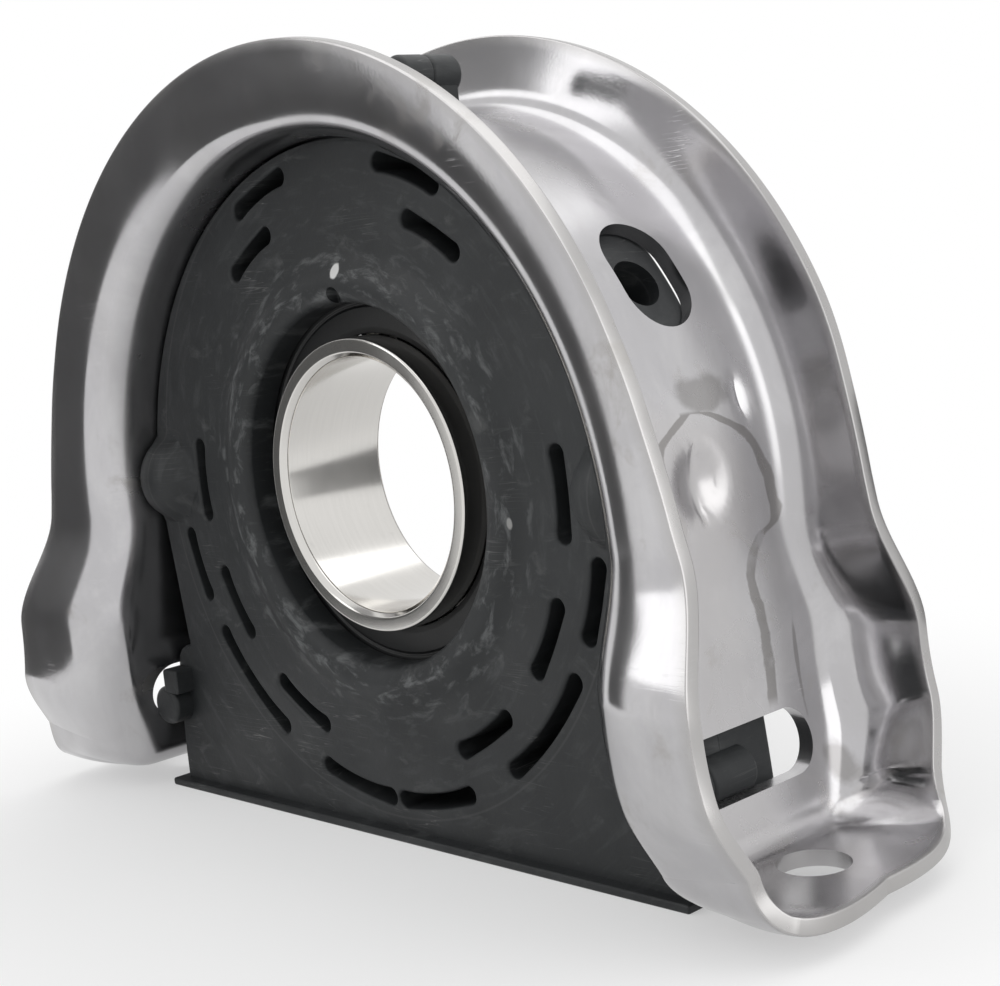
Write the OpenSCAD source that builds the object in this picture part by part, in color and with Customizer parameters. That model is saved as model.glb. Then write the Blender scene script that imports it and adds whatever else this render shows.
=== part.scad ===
// Driveshaft centre bearing: a wide ball bearing, held by a moulded rubber cushion in a
// drawn steel bracket that bolts to a chassis cross member.
// Millimetres. The origin is the middle of the shaft bore, Y runs along the shaft from the
// front to the rear, Z is up.

/* [Bearing] */
// Diameter of the shaft bore
bore_d = 60; // [56:0.5:64]
// Width of the inner ring along the shaft
inner_ring_w = 31.4; // [26:0.2:36]
// Chamfer at both ends of the bore
bore_chamfer = 1.4; // [0.5:0.1:2]
// Chamfer at both outer ends of the inner ring
ring_chamfer = 0.8; // [0.3:0.1:1.5]
// Outside diameter of the outer ring
outer_ring_d = 95; // [92:0.5:98]
// Width of the outer ring
outer_ring_w = 18; // [17:0.5:22]
// Wall of each ring at its shoulders, as a share of the space from the bore to the outside
wall_share = 0.26; // [0.22:0.01:0.28]
// Diameter of a ball, as a share of that space
ball_share = 0.634; // [0.56:0.002:0.65]
// Play between a ball and its races
race_gap = 0.15; // [0.05:0.01:0.3]
// Thickness of a seal's rim
seal_t = 1.5; // [1:0.1:1.8]
// Running gap between a seal's lip and the inner ring
lip_gap = 0.2; // [0.1:0.05:0.4]

/* [Ball cage] */
// Thickness of the pressed ribbon
ribbon_t = 0.8; // [0.5:0.1:1]
// Width of the ribbon, as a share of the gap between the rings' shoulders
ribbon_share = 0.52; // [0.4:0.01:0.6]
// Play between a ball and its pocket
pocket_gap = 0.15; // [0.05:0.05:0.3]
// Diameter of a rivet's shank
rivet_d = 1.6; // [1.2:0.1:2]
// Height of a rivet's head
rivet_head_h = 0.8; // [0.5:0.1:1.2]

/* [Rubber cushion] */
// Width of the cushion along the shaft
rubber_w = 32; // [28:0.5:36]
// Clearance between the rubber and what it seats on
seat_gap = 0.3; // [0.2:0.05:0.5]
// Radius of the mouth in front of the bearing
mouth_r = 42.6; // [41:0.1:44]
// How far the roll round the mouth stands proud
roll_h = 2.6; // [1:0.1:4]
// Width of the roll round the mouth
roll_w = 9; // [6:0.5:12]
// Diameter of the keyhole notch at the top of the front roll
notch_d = 4.6; // [3:0.2:5]
// Width of the slots
slot_w = 4.2; // [3:0.1:5]
// Distance of the outer row of slots from the arch's inner face
outer_row_in = 11; // [10:0.5:13]
// Distance of the inner row of slots from the outer row
row_step = 10; // [9:0.5:12]
// How far the cushion's base hangs below the feet
base_drop = 4.8; // [3:0.1:7]
// Half width of the base across the shaft
base_half_w = 92.5; // [89:0.5:95]
// Thickness of the base's thin lip
lip_t = 2; // [1:0.1:3]
// How far the lip stands out of the front and the rear
lip_out = 3; // [1:0.1:4]
// Radius of the round bulges beside the dimples
bulge_r = 12; // [10:0.5:13]
// How far a bulge stands out of the front and the rear
bulge_out = 7; // [4:0.5:8]
// Radius of the rolls that lock into the legs' windows
lock_r = 5.2; // [4:0.1:6]
// Radius of the two rolls that hook through the top of the arch
hook_r = 4.5; // [4:0.1:5]
// Length of those two rolls along the shaft
hook_l = 17; // [12:0.5:18]
// Distance between those two rolls
hook_spacing = 37; // [30:0.5:40]
// Gap under those rolls, over the arch's outer face
hook_rise = 5; // [4:0.1:6]
// Diameter of the blind hole behind each oval hole
blind_d = 11.5; // [8:0.5:14]
// Depth of that blind hole
blind_h = 9; // [6:0.5:12]

/* [Arch of the bracket] */
// Radius of the arch's inner face, where the rubber seats
web_r = 86; // [85:0.5:90]
// Height of the arch's centre, from the bore's centre
arch_z = -6; // [-8:0.5:-3]
// Thickness of the drawn sheet
sheet_t = 3.5; // [2.5:0.1:4]
// Height of the flange round the arch
flange_h = 21; // [17:0.5:24]
// Half width over the rims of the arch
arch_half_w = 34; // [32:0.5:37]
// Half width of the flat strip of the arch
arch_flat = 20.5; // [18:0.5:22]

/* [Legs of the bracket] */
// Height of the feet's underside, below the bore's centre
foot_drop = 79.5; // [76:0.5:84]
// Lean of a leg where it leaves the arch, from upright
leg_lean = 2; // [0:0.5:4]
// Splay of a leg where it reaches the foot, from upright
leg_splay = 13; // [8:0.5:16]
// Length of a leg's straight upper part
leg_l = 36; // [32:0.5:40]
// Radius of the sweep between the two parts of a leg
sweep_r = 90; // [60:5:120]
// Radius of the bend between leg and foot
bend_r = 9.5; // [8:0.5:11]
// Height of the flange along the legs
leg_flange_h = 28; // [24:0.5:30]
// Half width over the rims at a leg's widest place
leg_half_w = 43.5; // [40:0.5:46]
// Half width of the flat strip of the legs
leg_flat = 26; // [24.5:0.5:28]

/* [Feet and windows] */
// Distance between the two bolt holes
bolt_spacing = 220; // [216:0.5:226]
// Diameter of a bolt hole
bolt_hole_d = 15.4; // [13:0.1:17]
// Length of a foot beyond its bolt hole's centre
toe = 17.5; // [16:0.5:22]
// How much further a foot's end reaches at the front than at the rear, for each mm of its width
toe_skew = 0.1; // [0:0.01:0.15]
// Half width of a foot at its sides
foot_half_w = 33.3; // [31:0.1:36]
// Half width of a foot's flat floor
foot_flat = 20; // [18:0.5:24]
// Length of a leg's window along the shaft
window_l = 47; // [42:0.5:48]
// Height of a leg's window
window_h = 14; // [12:0.5:15]
// Height of the middle of a leg's window above the foot's underside
window_up = 22; // [20:0.5:25]
// Width of the oval hole in the arch
oval_w = 18.6; // [15:0.2:20]
// Length of the oval hole along the arch
oval_l = 26.4; // [22:0.2:28]
// Angle of the oval hole above the horizontal
oval_angle = 33.5; // [28:0.5:40]
// Place of the oval hole along the shaft
oval_y = 6; // [0:0.5:8]
// Diameter of the dimple in a leg
dimple_d = 17; // [12:0.5:20]
// Depth of the dimple
dimple_h = 2; // [1:0.1:2.5]
// Angle of the dimple above the horizontal
dimple_angle = 4; // [3:0.5:8]

/* [Hidden] */
$fn = 72;
ball_count = 12;
cut = 200;                      // longer than anything that is cut through

// Bearing sizes
bore_r = bore_d / 2;
outer_r = outer_ring_d / 2;
ring_space = outer_r - bore_r;
ball_r = ball_share * ring_space / 2;
pitch_r = (bore_r + outer_r) / 2;
inner_shoulder_r = bore_r + wall_share * ring_space;
outer_shoulder_r = outer_r - wall_share * ring_space;
ribbon_w = ribbon_share * (outer_shoulder_r - inner_shoulder_r);
seal_step = 1.5;                // depth of the seal's seat in the outer ring's shoulder
seal_sunk = 0.4;                // how far a seal sits below the outer ring's end
seal_gap = 0.1;                 // play of a seal in its seat
seal_seat_r = outer_shoulder_r + seal_step;
seal_y = outer_ring_w / 2 - seal_t - seal_sunk;
outer_chamfer = 1;              // at the outer ring's outer ends
lip_w = 1.8;                    // width of a seal's lip
slope = 0.7;                    // slope from a seal's rim and lip to its web
rivet_gap = 0.05;               // play of a rivet in its holes

// Bracket sizes
foot_z = -foot_drop;
bolt_x = bolt_spacing / 2;
toe_x = bolt_x + toe;
leg_head = 90 - leg_lean;       // heading of the sheet at the end of the arch
shin_head = 90 - leg_splay;     // heading just above the foot

// Rubber sizes
rubber_r = web_r - seat_gap;
outer_row_r = web_r - outer_row_in;
inner_row_r = outer_row_r - row_step;
base_z = foot_z - base_drop;
window_z = foot_z + window_up;

// A smooth step from 0 to 1
function blend(t) = let (c = min(max(t, 0), 1)) c * c * (3 - 2 * c);
// Direction of the sheet at a heading, in X and Z: 0 runs to the right, 90 runs down
function ahead(h) = [cos(h), -sin(h)];
// Outward side of the sheet at a heading
function outward(h) = [sin(h), cos(h)];

// The line of the arch's inner face, from the top down the right leg to the bolt hole:
// an arc, a straight, a wide sweep, a straight, a tight bend and the flat foot
arch_c = [0, arch_z];
leg_a = arch_c + web_r * outward(leg_head);
leg_b = leg_a + leg_l * ahead(leg_head);
sweep_c = leg_b + sweep_r * outward(leg_head);
shin_a = sweep_c - sweep_r * outward(shin_head);
shin_l = (shin_a[1] - foot_z - bend_r * (1 - cos(shin_head))) / sin(shin_head);
shin_b = shin_a + shin_l * ahead(shin_head);
bend_c = shin_b + bend_r * outward(shin_head);
foot_a = bend_c - bend_r * outward(0);
foot_b = [bolt_x, foot_z];

// Number of steps along each stretch, and round the end of the foot
arch_n = 15;
leg_n = 4;
sweep_n = 2;
shin_n = 2;
bend_n = 4;
foot_n = 3;
toe_n = 8;
spine_n = arch_n + leg_n + sweep_n + shin_n + bend_n + foot_n;
quarter_n = spine_n + toe_n;
loop_n = 4 * quarter_n;
rise_n = 10;                    // points from the flat strip's edge to the rim

function stretch(a, b, n, h) = [for (i = [1 : n]) [a + (b - a) * i / n, h]];
function turn(c, r, h0, h1, n) =
    [for (i = [1 : n]) let (h = h0 + (h1 - h0) * i / n) [c + r * outward(h), h]];
spine = concat(
    [[arch_c + web_r * outward(0), 0]],
    turn(arch_c, web_r, 0, leg_head, arch_n),
    stretch(leg_a, leg_b, leg_n, leg_head),
    turn(sweep_c, -sweep_r, leg_head, shin_head, sweep_n),
    stretch(shin_a, shin_b, shin_n, shin_head),
    turn(bend_c, -bend_r, shin_head, 0, bend_n),
    stretch(foot_a, foot_b, foot_n, 0));

// Widths that grow from the arch to the leg and shrink again to the foot
wide_drop = 2;                  // where the legs start to widen, below the arch's centre
wide_over = 28;                 // and over how much of the way down
wide_from = arch_z - wide_drop;
narrow_up = 29.5;               // where they start to narrow, above the feet
narrow_over = 26;
narrow_from = foot_z + narrow_up;
function grow(z, arch, leg, foot) = arch + (leg - arch) * blend((wide_from - z) / wide_over)
    - (leg - foot) * blend((narrow_from - z) / narrow_over);
flare_up = 21;                  // where the flange starts to grow, above the arch's centre
flare_over = 55;
flare_from = arch_z + flare_up;
function flange(z) = flange_h + (leg_flange_h - flange_h) * blend((flare_from - z) / flare_over);

// The rim of one quarter: square to the sheet down to the shin, then a curve round the toe
rim_main_n = spine_n - foot_n - bend_n;
function rim_main(i) = let (p = spine[i][0] + flange(spine[i][0][1]) * outward(spine[i][1]))
    [p[0], grow(p[1], arch_half_w, leg_half_w, foot_half_w), p[1]];
toe_corner = 4.5;               // fullness of the foot's corner, outward
toe_side = 29;                  // half width that the corner aims at
side_full = 1.7;                // fullness of the foot's side
rim_a = rim_main(rim_main_n);
rim_b = [rim_a[0] + 1, foot_half_w + side_full, foot_z];
rim_c = [toe_x + toe_corner, toe_side, foot_z];
rim_d = [toe_x, 0, foot_z];
function bezier(a, b, c, d, t) = a * pow(1 - t, 3) + b * 3 * t * pow(1 - t, 2)
    + c * 3 * t * t * (1 - t) + d * t * t * t;
rim = [for (i = [0 : quarter_n]) i <= rim_main_n ? rim_main(i)
    : bezier(rim_a, rim_b, rim_c, rim_d, (i - rim_main_n) / (quarter_n - rim_main_n))];
function unit(v) = v / norm(v);
function rim_ahead(i) = i == 0 ? [1, 0, 0] : i == quarter_n ? [0, -1, 0]
    : unit(rim[i + 1] - rim[i - 1]);

// One line of points from the middle of the strip, over its flat edge, up to the rim
foot_i = spine_n - foot_n;      // the first line of the flat foot
toe_edge = 6;                   // width of the upturned edge at the end of the foot
corner_lead = 0.88;             // how squarely the flange turns up along the arch and the legs
toe_lead = 0.45;                // and round the foot
rim_lead = 0.55;                // how straight it runs to the rim along the arch and the legs
toe_rim_lead = 0.35;            // and round the foot
swing_power = 2.5;              // how late the lines swing towards the end of the foot
function line_mid(i) = let (p = spine[min(i, spine_n)][0]) [p[0], 0, p[1]];
function line_dir(i) = let (
        swing = pow(min(max((i - foot_i) / foot_n, 0), 1), swing_power),
        reach = rim[i] - line_mid(i))
    unit([reach[0] * swing, reach[1], 0]);
function line_fall(i) = (rim[i][2] - foot_z) / (rim[foot_i][2] - foot_z);
function line_flat(i) = i <= foot_i
    ? grow(line_mid(i)[2], arch_flat, leg_flat, foot_flat)
    : (rim[i] - line_mid(i)) * line_dir(i) - toe_edge
        - (rim[foot_i][1] - foot_flat - toe_edge) * line_fall(i);
function lead(i, main, toe) = main + (toe - main) * blend((i - rim_main_n) / bend_n);
function line(i) = let (
        dir = line_dir(i),
        edge = line_mid(i) + dir * line_flat(i),
        low = edge + dir * lead(i, corner_lead, toe_lead) * ((rim[i] - edge) * dir),
        up = rim[i] - low,
        side = rim_ahead(i),
        pull = lead(i, rim_lead, toe_rim_lead) * norm(up),
        high = rim[i] - unit(up - side * (up * side)) * pull)
    concat([line_mid(i)],
        [for (j = [0 : rise_n - 1]) bezier(edge, low, high, rim[i], j / (rise_n - 1))]);
quarter = [for (i = [0 : quarter_n]) line(i)];

// The closed loop of lines: right front, right rear, left rear, left front
function fold(k) = let (m = (k + loop_n) % loop_n, q = floor(m / quarter_n), r = m % quarter_n)
    [q % 2 == 0 ? r : quarter_n - r, q < 2 ? 1 : -1, q == 0 || q == 3 ? -1 : 1];
skew_from = bolt_x - 12;        // the foot's end is skewed from here
skew_over = 20;                 // and fully so after this much
function skewed(p) = let (share = blend((abs(p[0]) - skew_from) / skew_over))
    p - [sign(p[0]) * share * toe_skew * p[1], 0, 0];
function skin(k, j) = let (f = fold(k), p = quarter[f[0]][j])
    skewed([p[0] * f[1], p[1] * f[2], p[2]]);
function skin_side(k, j) = j == 0
    ? let (f = fold(k), o = outward(spine[min(f[0], spine_n)][1])) [o[0] * f[1], 0, o[1]]
    : unit(cross(skin(k, min(j + 1, rise_n)) - skin(k, j - 1), skin(k + 1, j) - skin(k - 1, j)));
function layer(lift) = concat(
    [for (k = [0 : loop_n - 1]) for (j = [1 : rise_n]) skin(k, j) + lift * skin_side(k, j)],
    [for (k = [0 : spine_n]) skin(k, 0) + lift * skin_side(k, 0)],
    [for (k = [1 : spine_n]) let (b = 2 * quarter_n + k) skin(b, 0) + lift * skin_side(b, 0)]);
layer_n = loop_n * rise_n + 2 * spine_n + 1;
function mid_id(k) = let (f = fold(k), i = min(f[0], spine_n))
    loop_n * rise_n + (f[1] > 0 || i == 0 ? i : spine_n + i);
function id(k, j) = j == 0 ? mid_id(k) : ((k + loop_n) % loop_n) * rise_n + j - 1;
// Two triangles for each four-sided patch, one where two corners are the same point
function patch(a, b, c, d) = a == d ? [[a, b, c]] : [[a, b, c], [a, c, d]];
bracket_faces = [for (k = [0 : loop_n - 1]) for (f = concat(
        [for (j = [0 : rise_n - 1])
            each patch(id(k, j), id(k, j + 1), id(k + 1, j + 1), id(k + 1, j))],
        [for (j = [0 : rise_n - 1])
            for (t = patch(id(k, j), id(k, j + 1), id(k + 1, j + 1), id(k + 1, j)))
                [t[2] + layer_n, t[1] + layer_n, t[0] + layer_n]],
        patch(id(k, rise_n), id(k, rise_n) + layer_n,
            id(k + 1, rise_n) + layer_n, id(k + 1, rise_n)))) f];

// Turns a shape drawn in X and Y, and raised in Z, to stand in X and Z along the shaft
module along_shaft() {
    rotate([90, 0, 0]) children();
}

module both_sides() {
    children();
    mirror([1, 0, 0]) children();
}

module both_ends() {
    children();
    mirror([0, 1, 0]) children();
}

// A bar with round ends along X
module round_bar(l, w, h) {
    cube([l - w, w, h], center = true);
    both_sides() translate([(l - w) / 2, 0, 0]) cylinder(d = w, h = h, center = true);
}

module oval_cut() {
    rotate([0, -oval_angle, 0]) translate([web_r, oval_y, 0]) rotate([0, 90, 0])
        round_bar(oval_l, oval_w, 6 * sheet_t);
}

module window_cut(l, h) {
    translate([web_r, 0, window_z]) rotate([0, 90, 0]) rotate([0, 0, 90])
        round_bar(l, h, 8 * sheet_t);
}

// The dimple's ball: it meets the sheet's outer face in a circle of the dimple's diameter
dimple_r = (pow(dimple_d / 2, 2) + pow(dimple_h, 2)) / (2 * dimple_h);
module dimple_ball(r) {
    translate([0, 0, arch_z]) rotate([0, -dimple_angle, 0])
        translate([web_r + sheet_t + dimple_r - dimple_h, 0, 0]) sphere(r = r, $fn = 96);
}

module dimple_back() {
    intersection() {
        dimple_ball(dimple_r + sheet_t);
        translate([0, 0, arch_z]) rotate([0, -dimple_angle, 0])
            translate([web_r + sheet_t / 2 - cut / 2, 0, 0]) cube(cut, center = true);
    }
}

module bracket() {
    color("silver") difference() {
        union() {
            polyhedron(concat(layer(0), layer(sheet_t)), bracket_faces, convexity = 12);
            both_sides() dimple_back();
        }
        both_sides() {
            dimple_ball(dimple_r);
            translate([bolt_x, 0, foot_z]) cylinder(d = bolt_hole_d, h = 6 * sheet_t, center = true);
            translate([0, 0, arch_z]) oval_cut();
            window_cut(window_l, window_h);
        }
        top_window();
    }
}

// The window at the top of the arch that the rubber hooks into
hook_room = 4;                  // room beyond the hooks in the window
top_window_l = hook_spacing + 2 * hook_r + hook_room;
top_window_w = hook_l + hook_room;
module top_window() {
    translate([0, 0, arch_z + web_r]) round_bar(top_window_l, top_window_w, 8 * sheet_t);
}

// Angles of the slots' ends, from the right-hand side upward: one side, the other is mirrored
inner_row = [[52.5, 66.5], [-36.5, -22], [-67, -51.5]];
outer_row = [[62, 76], [-23.5, -11.5], [-56, -32.5], [-88, -70]];
side_slot = [-7.5, 7.5];

// Outline of a curved slot with round ends: out along the arc, round the end and back
slot_n = 8;                     // steps along a side and round an end
function polar(r, a) = r * [cos(a), sin(a)];
function slot_arc(r, a, b) = [for (i = [0 : slot_n]) polar(r, a + (b - a) * i / slot_n)];
function slot_end(r, a, turn) = [for (i = [1 : slot_n - 1])
    polar(r, a) + polar(slot_w / 2, a + turn + 180 * i / slot_n)];
function slot_outline(r, a, b) = concat(
    slot_arc(r + slot_w / 2, a, b), slot_end(r, b, 0),
    slot_arc(r - slot_w / 2, b, a), slot_end(r, a, 180));

module arc_slot(r, ends) {
    linear_extrude(cut, center = true) polygon(slot_outline(r, ends[0], ends[1]));
}

module slots() {
    both_sides() {
        arc_slot(inner_row_r, side_slot);
        for (ends = inner_row) arc_slot(inner_row_r, ends);
        for (ends = outer_row) arc_slot(outer_row_r, ends);
    }
}

// The cushion's front view: a round top, straight sides and a base that spreads
base_spread = 12;               // height over which the sides spread to the base
arc_n = 72;
module cushion_outline() {
    foot_half = base_half_w - lip_out;
    polygon(concat(
        [for (i = [0 : arc_n]) let (a = 180 * i / arc_n)
            [rubber_r * cos(a), arch_z + rubber_r * sin(a)]],
        [[-rubber_r, base_z + base_spread], [-foot_half, base_z],
            [foot_half, base_z], [rubber_r, base_z + base_spread]]));
}

// The roll round the bearing's mouth, and the seat of the outer ring behind it
module mouth_roll() {
    roll_r = (pow(roll_w / 2, 2) + pow(roll_h, 2)) / (2 * roll_h);
    both_ends() translate([0, -rubber_w / 2, 0]) along_shaft()
        rotate_extrude() intersection() {
            translate([mouth_r + roll_w / 2, roll_h - roll_r]) circle(r = roll_r);
            translate([mouth_r, -roll_h]) square([roll_w, 3 * roll_h]);
        }
}

// The keyhole notch: a round hole just above the mouth, and a slot that opens it to the mouth
notch_h = 2;                    // depth below the cushion's face
notch_slot = 0.6;               // the slot's width, as a share of the hole's
module keyhole() {
    depth = roll_h + notch_h;
    translate([0, -rubber_w / 2 - (roll_h - notch_h) / 2, mouth_r + notch_d / 3]) along_shaft() {
        cylinder(d = notch_d, h = depth + 1, center = true, $fn = 32);
        translate([0, -notch_d / 2, 0]) cube([notch_slot * notch_d, notch_d, depth + 1], center = true);
    }
}

module bearing_seat() {
    along_shaft() {
        cylinder(r = mouth_r, h = cut, center = true);
        cylinder(r = outer_r + seat_gap, h = outer_ring_w + 2 * seat_gap, center = true);
    }
}

// The bulges that lock the cushion behind the dimples
module bulges() {
    intersection() {
        both_sides() both_ends()
            translate([rubber_r - bulge_r / 2, -rubber_w / 2 - bulge_out + bulge_r, 0])
                sphere(r = bulge_r);
        translate([0, 0, arch_z]) along_shaft()
            cylinder(r = rubber_r - seat_gap, h = cut, center = true);
    }
}

// The rolls on the sides, which lock into the legs' windows
inset = 1;                      // step back from a roll's end or side
module locks() {
    both_sides() translate([rubber_r + seat_gap, 0, window_z - window_h / 4]) along_shaft()
        cylinder(r = lock_r, h = rubber_w - inset, center = true);
}

// The two hooks through the top of the arch: a stem with a roll along the shaft
module hooks() {
    hook_x = hook_spacing / 2;
    top_z = arch_z + sqrt(pow(web_r + sheet_t, 2) - pow(hook_x, 2)) + hook_rise + hook_r;
    both_sides() translate([hook_x, 0, top_z]) {
        along_shaft() cylinder(r = hook_r, h = hook_l, center = true, $fn = 48);
        translate([inset - hook_r, inset - hook_l / 2, -hook_rise - hook_r - 4 * sheet_t])
            cube([2 * (hook_r - inset), hook_l - 2 * inset, hook_rise + hook_r + 4 * sheet_t]);
    }
}

module blind_holes() {
    both_sides() translate([0, 0, arch_z]) rotate([0, -oval_angle, 0])
        translate([rubber_r - blind_h, oval_y, 0]) rotate([0, 90, 0])
            cylinder(d = blind_d, h = 2 * blind_h, $fn = 48);
}

module rubber_cushion() {
    color([0.2, 0.21, 0.22]) difference() {
        union() {
            along_shaft() linear_extrude(rubber_w, center = true) cushion_outline();
            translate([-base_half_w, -rubber_w / 2 - lip_out, base_z])
                cube([2 * base_half_w, rubber_w + 2 * lip_out, lip_t]);
            mouth_roll();
            bulges();
            locks();
            hooks();
        }
        bearing_seat();
        blind_holes();
        keyhole();
        both_sides() dimple_ball(dimple_r + sheet_t + seat_gap);
        along_shaft() slots();
    }
}

// A ring with chamfered ends, turned about the shaft
module turned_ring(in_r, out_r, w, in_chamfer, out_chamfer) {
    rotate_extrude($fn = 120) polygon([
        [in_r + in_chamfer, -w / 2], [out_r - out_chamfer, -w / 2], [out_r, -w / 2 + out_chamfer],
        [out_r, w / 2 - out_chamfer], [out_r - out_chamfer, w / 2], [in_r + in_chamfer, w / 2],
        [in_r, w / 2 - in_chamfer], [in_r, -w / 2 + in_chamfer]]);
}

module race() {
    rotate_extrude($fn = 120) translate([pitch_r, 0]) circle(r = ball_r + race_gap, $fn = 48);
}

module inner_ring() {
    color("gainsboro") along_shaft() difference() {
        turned_ring(bore_r, inner_shoulder_r, inner_ring_w, bore_chamfer, ring_chamfer);
        race();
    }
}

module outer_ring() {
    color("lightsteelblue") along_shaft() difference() {
        turned_ring(outer_shoulder_r, outer_r, outer_ring_w, outer_chamfer / 4, outer_chamfer);
        race();
        for (s = [-1, 1])
            translate([0, 0, s * outer_ring_w / 2])
                cylinder(r = seal_seat_r, h = outer_ring_w - 2 * seal_y, center = true);
    }
}

function ball_angle(i) = 360 * i / ball_count;

module ball(i) {
    color("whitesmoke") rotate([0, ball_angle(i), 0]) translate([pitch_r, 0, 0])
        sphere(r = ball_r, $fn = 48);
}

// The front ribbon of the cage: flat between the balls, pressed out round each one
pocket_r = ball_r + pocket_gap;
module pocket(r, from_r, l) {
    translate([from_r, 0, 0]) rotate([90, 0, 90]) linear_extrude(l) intersection() {
        circle(r = r, $fn = 48);
        translate([-r, 0]) square([2 * r, r]);
    }
}

module cage_half() {
    ribbon_r = pitch_r - ribbon_w / 2;
    difference() {
        union() {
            rotate_extrude($fn = 120) translate([ribbon_r, 0]) square([ribbon_w, ribbon_t]);
            for (i = [0 : ball_count - 1])
                rotate([0, 0, ball_angle(i)]) pocket(pocket_r + ribbon_t, ribbon_r, ribbon_w);
        }
        for (i = [0 : ball_count - 1]) {
            rotate([0, 0, ball_angle(i)]) translate([ribbon_r / 2, 0, 0]) rotate([0, 90, 0])
                cylinder(r = pocket_r, h = pitch_r, $fn = 48);
            rotate([0, 0, ball_angle(i + 0.5)]) translate([pitch_r, 0, -1])
                cylinder(d = rivet_d + 2 * rivet_gap, h = ribbon_t + 2, $fn = 24);
        }
    }
}

module cage_front_half() {
    color("khaki") along_shaft() cage_half();
}

module cage_rear_half() {
    color("khaki") mirror([0, 1, 0]) along_shaft() cage_half();
}

module cage_rivets() {
    color("goldenrod") for (i = [0 : ball_count - 1])
        rotate([0, ball_angle(i + 0.5), 0]) translate([pitch_r, 0, 0]) along_shaft()
            for (s = [0, 1]) mirror([0, 0, s]) {
                cylinder(d = rivet_d, h = ribbon_t, $fn = 24);
                translate([0, 0, ribbon_t])
                    cylinder(d1 = 2 * rivet_d, d2 = rivet_d, h = rivet_head_h, $fn = 24);
            }
}

// A seal: a rim seated in the outer ring, a thin web and a lip close to the inner ring
module seal() {
    rim_r = seal_seat_r - seal_gap;
    rim_in = outer_shoulder_r - slope;
    lip_r = inner_shoulder_r + lip_gap;
    lip_out_r = lip_r + lip_w;
    web_t = seal_t / 2;
    color("dimgray") translate([0, -seal_y, 0]) along_shaft() rotate_extrude($fn = 120) polygon([
        [lip_r, seal_t / 4], [lip_out_r, 0], [rim_r, 0], [rim_r, seal_t], [rim_in, seal_t],
        [rim_in - slope, web_t], [lip_out_r + slope, web_t], [lip_out_r, seal_t],
        [lip_r, seal_t - seal_t / 4]]);
}

module front_seal() {
    seal();
}

module rear_seal() {
    mirror([0, 1, 0]) seal();
}

function ball_name(i) = str("ball_", i < 9 ? "0" : "", i + 1);

bracket();
rubber_cushion();
outer_ring();
inner_ring();
for (i = [0 : ball_count - 1]) ball(i);
cage_front_half();
cage_rear_half();
cage_rivets();
front_seal();
rear_seal();
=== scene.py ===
# %% [markdown]
# # A driveshaft centre bearing
#
# A long truck driveshaft is held up half way by a ball bearing. The bearing sits in a
# block of rubber, and the rubber sits in a bracket of drawn sheet steel that bolts to
# the chassis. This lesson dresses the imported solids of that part: it rebuilds the
# bracket, the rubber and the bearing's visible rings as finer meshes, gives every piece
# a finish made of shader nodes, and lights it like a small studio.
#
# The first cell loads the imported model. Its solids are the fixed frame: every new piece
# stays where the solid is, and rides on the same body.

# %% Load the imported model
import math

import bmesh
import bpy
import numpy as np
from mathutils import Matrix, Vector
from mathutils.geometry import delaunay_2d_cdt


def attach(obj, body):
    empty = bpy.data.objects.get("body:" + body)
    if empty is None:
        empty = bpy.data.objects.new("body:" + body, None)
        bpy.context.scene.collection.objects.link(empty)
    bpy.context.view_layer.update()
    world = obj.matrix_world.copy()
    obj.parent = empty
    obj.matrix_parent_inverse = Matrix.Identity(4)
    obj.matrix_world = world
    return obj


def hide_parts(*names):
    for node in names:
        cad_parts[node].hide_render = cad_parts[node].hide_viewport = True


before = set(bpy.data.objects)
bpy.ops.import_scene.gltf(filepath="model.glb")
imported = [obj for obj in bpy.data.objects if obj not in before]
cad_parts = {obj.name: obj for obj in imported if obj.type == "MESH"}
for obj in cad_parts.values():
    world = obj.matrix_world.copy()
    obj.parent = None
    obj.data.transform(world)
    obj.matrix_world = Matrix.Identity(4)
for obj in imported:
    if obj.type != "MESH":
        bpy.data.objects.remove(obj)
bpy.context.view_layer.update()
scene = bpy.context.scene
MM = 0.001


def add(name, data):
    """A new object in the scene."""
    obj = bpy.data.objects.new(name, data)
    scene.collection.objects.link(obj)
    return obj


# %% [markdown]
# ## The camera
#
# The camera was fitted to edges whose real shape is known, such as the round bore and
# the flat base. It looks down a little, from the right, and it is rolled a few degrees.
# A camera's matrix has its right, up and backward directions as columns, so those three
# are worked out first.

# %% Place the camera
AZIMUTH, ELEVATION, ROLL = (math.radians(v) for v in (47.29, 7.86, -6.03))
TARGET = Vector((29.41, 0.0, -3.38)) * MM
DISTANCE = 421.9 * MM
FOCAL_PX, PHOTO_W, SENSOR = 1867.2, 1000.0, 36.0

back = Vector((math.sin(AZIMUTH) * math.cos(ELEVATION),
               -math.cos(AZIMUTH) * math.cos(ELEVATION), math.sin(ELEVATION)))
level = Vector((math.cos(AZIMUTH), math.sin(AZIMUTH), 0.0))
up = back.cross(level)
right = level * math.cos(ROLL) + up * math.sin(ROLL)
upward = up * math.cos(ROLL) - level * math.sin(ROLL)

camera_data = bpy.data.cameras.new("camera")
camera_data.sensor_fit = "HORIZONTAL"
camera_data.sensor_width = SENSOR
camera_data.lens = FOCAL_PX * SENSOR / PHOTO_W
camera_data.clip_start = 0.01
camera = add("camera", camera_data)
turn = Matrix((right, upward, back)).transposed().to_4x4()
camera.matrix_world = Matrix.Translation(TARGET + back * DISTANCE) @ turn
scene.camera = camera
print("camera at", [round(v, 3) for v in camera.matrix_world.translation])

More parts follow.
